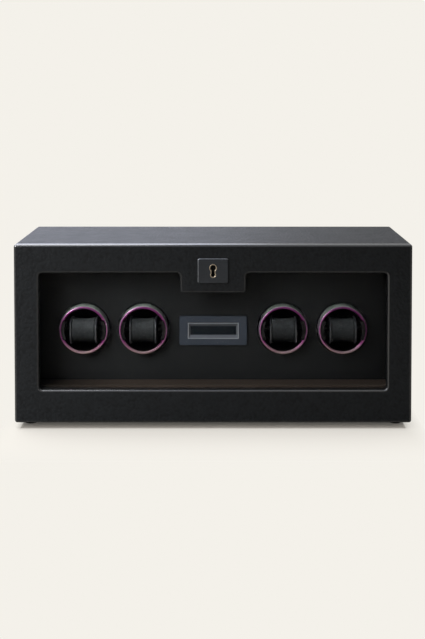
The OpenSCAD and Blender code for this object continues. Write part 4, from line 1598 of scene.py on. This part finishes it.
    def stitches(self) -> Piece:
        """Sets the stitches along both seams, centred on X = 0.

        Returns:
            The stitches, as one piece.
        """
        shell = bmesh.new()
        half, thick, thin = self.stitch_half, self.stitch_r, self.stitch_end_r
        turns = [math.pi * k / 3 for k in range(6)]
        spans = ((-half, thin), (-half * 0.7, thick), (half * 0.7, thick), (half, thin))
        loops = [[Vector((a, w * math.cos(t), w * math.sin(t))) * MM for t in turns] for a, w in spans]
        rows = skin(shell, loops)
        for row in (rows[0], rows[-1]):
            shell.faces.new(row)
        line, count = self.width / 2 - self.seam, self.stitches_round
        r = self.reach(line) - self.stitch_sunk
        spots = []
        for side in (-1, 1):
            for i in range(count):
                turn = 2 * math.pi * i / count
                out = Vector((0.0, math.cos(turn), math.sin(turn)))
                spots.append((self.axis + out * r + Vector((side * line, 0, 0)), out, (0.0, -out.z, out.y)))
        made = Scatter(finish_shell(shell, "stitch"), THREAD).place("cushion_stitches", spots)
        smooth(made, 60.0)
        return made

    def build(self, rotors: Sequence[Rotor]) -> None:
        """Makes one cushion and sets a copy of it in every rotor.

        Args:
            rotors: the rotors.
        """
        parts = (
            (self.roll(), CUSHION, True),
            (self.cord(), PIPING, False),
            (self.stitches(), THREAD, False),
        )
        for source, _, _ in parts:
            self.square_off(source)
        for rotor in rotors:
            for source, finish, soft in parts:
                mesh = source.data.copy()
                mesh.transform(Matrix.Translation((rotor.x * MM, 0, 0)))
                piece = add_object(f"{source.name}_{rotor.number}", mesh)
                wear(piece, finish)
                nodes = [f"cushion_{rotor.number}"] if soft else []
                seat(piece, f"watch_cushion_{rotor.number}", "cushion_leather", *nodes)
        for source, _, _ in parts:
            bpy.data.objects.remove(source)


# ------------------------------------------------------------------ the studio


@dataclass(frozen=True)
class Lamp:
    """A square soft lamp, unseen by the camera. Lengths are in metres."""

    name: str
    place: Point3
    aim: Point3
    size: float
    watts: float
    spread: float = 180.0
    colour: Point3 = (1.0, 1.0, 1.0)

    def hang(self) -> Piece:
        """Hangs the lamp, facing the point that it aims at.

        Returns:
            The lamp.
        """
        data = bpy.data.lights.new(self.name, "AREA")
        data.shape, data.size, data.energy = "SQUARE", self.size, self.watts
        data.spread, data.color = math.radians(self.spread), self.colour
        made = add_object(self.name, data)
        made.location = self.place
        made.rotation_euler = (Vector(self.aim) - Vector(self.place)).to_track_quat("-Z", "Y").to_euler()
        made.visible_camera = False
        return made


@dataclass
class Studio:
    """Floor, light and camera. Lengths here are in metres.

    The camera sees the floor and the background in one pale tone. Reflections see a background that is
    brighter above and behind on the left, and diffuse light comes from a dome that is dim in front.
    """

    pale: str = "#f4f1ea"
    frame_px: tuple[int, int] = (425, 639)
    focal_px: float = 1023.5
    sensor: float = 36.0  # millimetres
    shift: Point2 = (-0.0128, -0.3061)
    eye: Point3 = (0.0126, -1.7928, 0.56528)
    tilt: float = 2.0
    dome_way: Point3 = (-0.1, 0.6, 0.8)
    dome_span: Point2 = (-0.5, 0.8)
    dome: Point2 = (0.04, 0.85)
    glint_way: Point3 = (-0.55, 0.45, 0.7)
    glint_span: Point2 = (-0.7, 0.9)
    glint: Point2 = (0.06, 0.88)
    left_span: Point2 = (-0.085, 0.03)
    behind_span: Point2 = (0.5, 0.9)
    behind: float = 2.4
    right_tint: str = "#f2f2f2"
    left_tint: str = "#e2e6f6"
    floor_half: float = 9.0
    paper: str = "#ece8e1"
    paper_bounce: str = "#6b6863"  # what light sees of the floor, so that it lights the box less
    footprint: Point3 = (0.32, 0.107, 0.0)
    stretch: Point3 = (5.0, 1.0, 1.0)
    contact_reach: float = 0.008
    contact_fade: Point2 = (0.0, 0.42)
    shadow_reach: float = 0.16
    shadow_fade: Point2 = (0.06, 0.58)
    fibre: float = 10 / 9  # millimetres
    fibre_depth: float = 0.05  # millimetres
    key: Lamp = Lamp("key", (-1.15, -1.05, 0.9), (-0.5, -0.1, 0.15), 0.8, 4.4, spread=62.0)
    overhead: Lamp = Lamp("overhead", (-0.75, 0.2, 1.8), (-0.1, 0.0, 0.1), 1.2, 24.0)
    floor_fill: Lamp = Lamp(
        "floor_fill", (0.0, -1.5, 0.3), (0.0, 0.0, 0.0), 1.6, 17.0, colour=(1.0, 0.92, 0.83)
    )

    def camera(self) -> None:
        """Sets the camera at the viewing angle."""
        data = bpy.data.cameras.new("camera")
        data.sensor_width = self.sensor
        data.lens = self.sensor * self.focal_px / self.frame_px[1]
        data.shift_x, data.shift_y = self.shift
        data.clip_start, data.clip_end = 0.05, 60.0
        made = add_object("camera", data)
        made.location = self.eye
        made.rotation_euler = (math.radians(90 - self.tilt), 0, 0)
        bpy.context.scene.camera = made

    def slope(
        self, tree: Tree, glance: Socket, way: Sequence[float], part: Point2, level: Point2
    ) -> Node:
        """Adds a strength that rises smoothly with how far a ray looks one way.

        Args:
            tree: the world's tree.
            glance: the ray's direction.
            way: the direction towards which it rises.
            part: the direction's share along that way at which it starts and ends.
            level: the strength at the start and at the end.

        Returns:
            The node that gives the strength.
        """
        share = add_node(tree, VECTOR, {0: glance, 1: way}, operation="DOT_PRODUCT")
        return add_node(tree, RANGE, span(share, part, level), interpolation_type="SMOOTHSTEP")

    def seen(self, tree: Tree) -> Node:
        """Adds a switch that is 1 for camera rays and transmitted ones.

        Args:
            tree: the tree that gets it.

        Returns:
            The node that gives the switch.
        """
        rays = add_node(tree, "ShaderNodeLightPath").outputs
        inputs = {0: rays["Is Camera Ray"], 1: rays["Is Transmission Ray"]}
        return add_node(tree, MATH, inputs, operation="MAXIMUM")

    def world(self) -> None:
        """Makes the background: plain to the camera, and lights for reflections and for diffuse light."""
        world = bpy.data.worlds.new("studio")
        bpy.context.scene.world = world
        world.use_nodes = True
        tree = world.node_tree
        tree.nodes.clear()
        glance = add_node(tree, "ShaderNodeTexCoord").outputs["Generated"]
        dome = self.slope(tree, glance, self.dome_way, self.dome_span, self.dome)
        glint = self.slope(tree, glance, self.glint_way, self.glint_span, self.glint)
        left = self.slope(tree, glance, (-1, 0, 0), self.left_span, (0.0, 1.0))
        behind = self.slope(tree, glance, (0, 1, 0), self.behind_span, (0.0, self.behind))
        shine = add_node(tree, MATH, {0: left, 1: behind, 2: glint}, operation="MULTIPLY_ADD")
        tint = add_node(tree, MIX, shades(left, self.right_tint, self.left_tint), data_type="RGBA")
        lit, shiny, plain = (
            add_node(tree, "ShaderNodeBackground", {"Color": colour, "Strength": strength})
            for colour, strength in ((linear("#ffffff"), dome), (tint, shine), (linear(self.pale), 1.0))
        )
        glossy = add_node(tree, "ShaderNodeLightPath").outputs["Is Glossy Ray"]
        light = add_node(tree, "ShaderNodeMixShader", {0: glossy, 1: lit, 2: shiny})
        surface = add_node(tree, "ShaderNodeMixShader", {0: self.seen(tree), 1: light, 2: plain})
        add_node(tree, "ShaderNodeOutputWorld", {"Surface": surface})

    def floor_finish(self) -> bpy.types.Material:
        """Makes the floor's paper, which fades from its own shading at the box to the plain pale tone.

        Returns:
            The material.
        """
        finish = bpy.data.materials.new("pale_paper")
        finish.use_nodes = True
        tree = finish.node_tree
        tree.nodes.clear()
        place = add_node(tree, "ShaderNodeTexCoord").outputs["Object"]
        flat = add_node(tree, VECTOR, {0: place}, operation="ABSOLUTE")
        beyond = add_node(tree, VECTOR, {0: flat, 1: self.footprint}, operation="SUBTRACT")
        outside = add_node(tree, VECTOR, {0: beyond, 1: (0.0, 0.0, 0.0)}, operation="MAXIMUM")
        wide = add_node(tree, VECTOR, {0: outside, 1: self.stretch}, operation="MULTIPLY")
        far = add_node(tree, VECTOR, {0: wide}, operation="LENGTH")
        contact = add_node(tree, RANGE, span(far, (0.0, self.contact_reach), self.contact_fade))
        shadow = add_node(tree, RANGE, span(far, (0.0, self.shadow_reach), self.shadow_fade))
        fade = add_node(tree, MATH, {0: contact, 1: shadow}, operation="ADD")
        share = add_node(tree, MATH, {0: fade, 1: self.seen(tree)}, operation="MULTIPLY")
        fibre = add_node(tree, NOISE, grain(place, self.fibre, Detail=2.0))
        tooth = add_node(tree, BUMP, relief(fibre, self.fibre_depth))
        bounce = add_node(tree, "ShaderNodeLightPath").outputs["Is Diffuse Ray"]
        tone = add_node(tree, MIX, shades(bounce, self.paper, self.paper_bounce), data_type="RGBA")
        paper = add_node(tree, "ShaderNodeBsdfDiffuse", {"Color": tone, "Normal": tooth})
        glow = add_node(tree, "ShaderNodeEmission", {"Color": linear(self.pale), "Strength": 1.0})
        surface = add_node(tree, "ShaderNodeMixShader", {0: share, 1: paper, 2: glow})
        add_node(tree, "ShaderNodeOutputMaterial", {"Surface": surface})
        return finish

    def floor(self) -> Piece:
        """Lays the pale floor.

        Returns:
            The floor.
        """
        shell, half = bmesh.new(), self.floor_half
        corners = ((-half, -half), (half, -half), (half, half), (-half, half))
        shell.faces.new([shell.verts.new((x, y, 0.0)) for x, y in corners])
        piece = finish_shell(shell, "floor")
        piece.data.materials.append(self.floor_finish())
        return piece

    def build(self) -> None:
        """Sets up everything round the object. The key spares the floor, and the fill lights only it."""
        self.camera()
        self.world()
        floor = self.floor()
        key, _, fill = (lamp.hang() for lamp in (self.key, self.overhead, self.floor_fill))
        for lamp, state in ((key, "EXCLUDE"), (fill, "INCLUDE")):
            paper = bpy.data.collections.new(lamp.name + "_paper")
            paper.objects.link(floor)
            lamp.light_linking.receiver_collection = paper
            paper.collection_objects[0].light_linking.link_state = state
        bpy.context.scene.view_settings.view_transform = "Standard"


def main() -> None:
    """Builds the studio and the pieces in order."""
    logging.basicConfig(level=logging.INFO, format="%(name)s: %(message)s")
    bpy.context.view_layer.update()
    Studio().build()
    case = Case()
    case.dress_nodes()
    case.wood_screws()
    Door().build()
    lock = Lock()
    lock.plate()
    lock.liner()
    lock.screws()
    Display().build()
    Chassis().screws()
    rotors = [Rotor(i, x) for i, x in enumerate(ROTORS_X, 1)]
    for rotor in rotors:
        rotor.ring()
    WatchCushion().build(rotors)
    LOG.info("done")


if __name__ == "__main__":
    main()
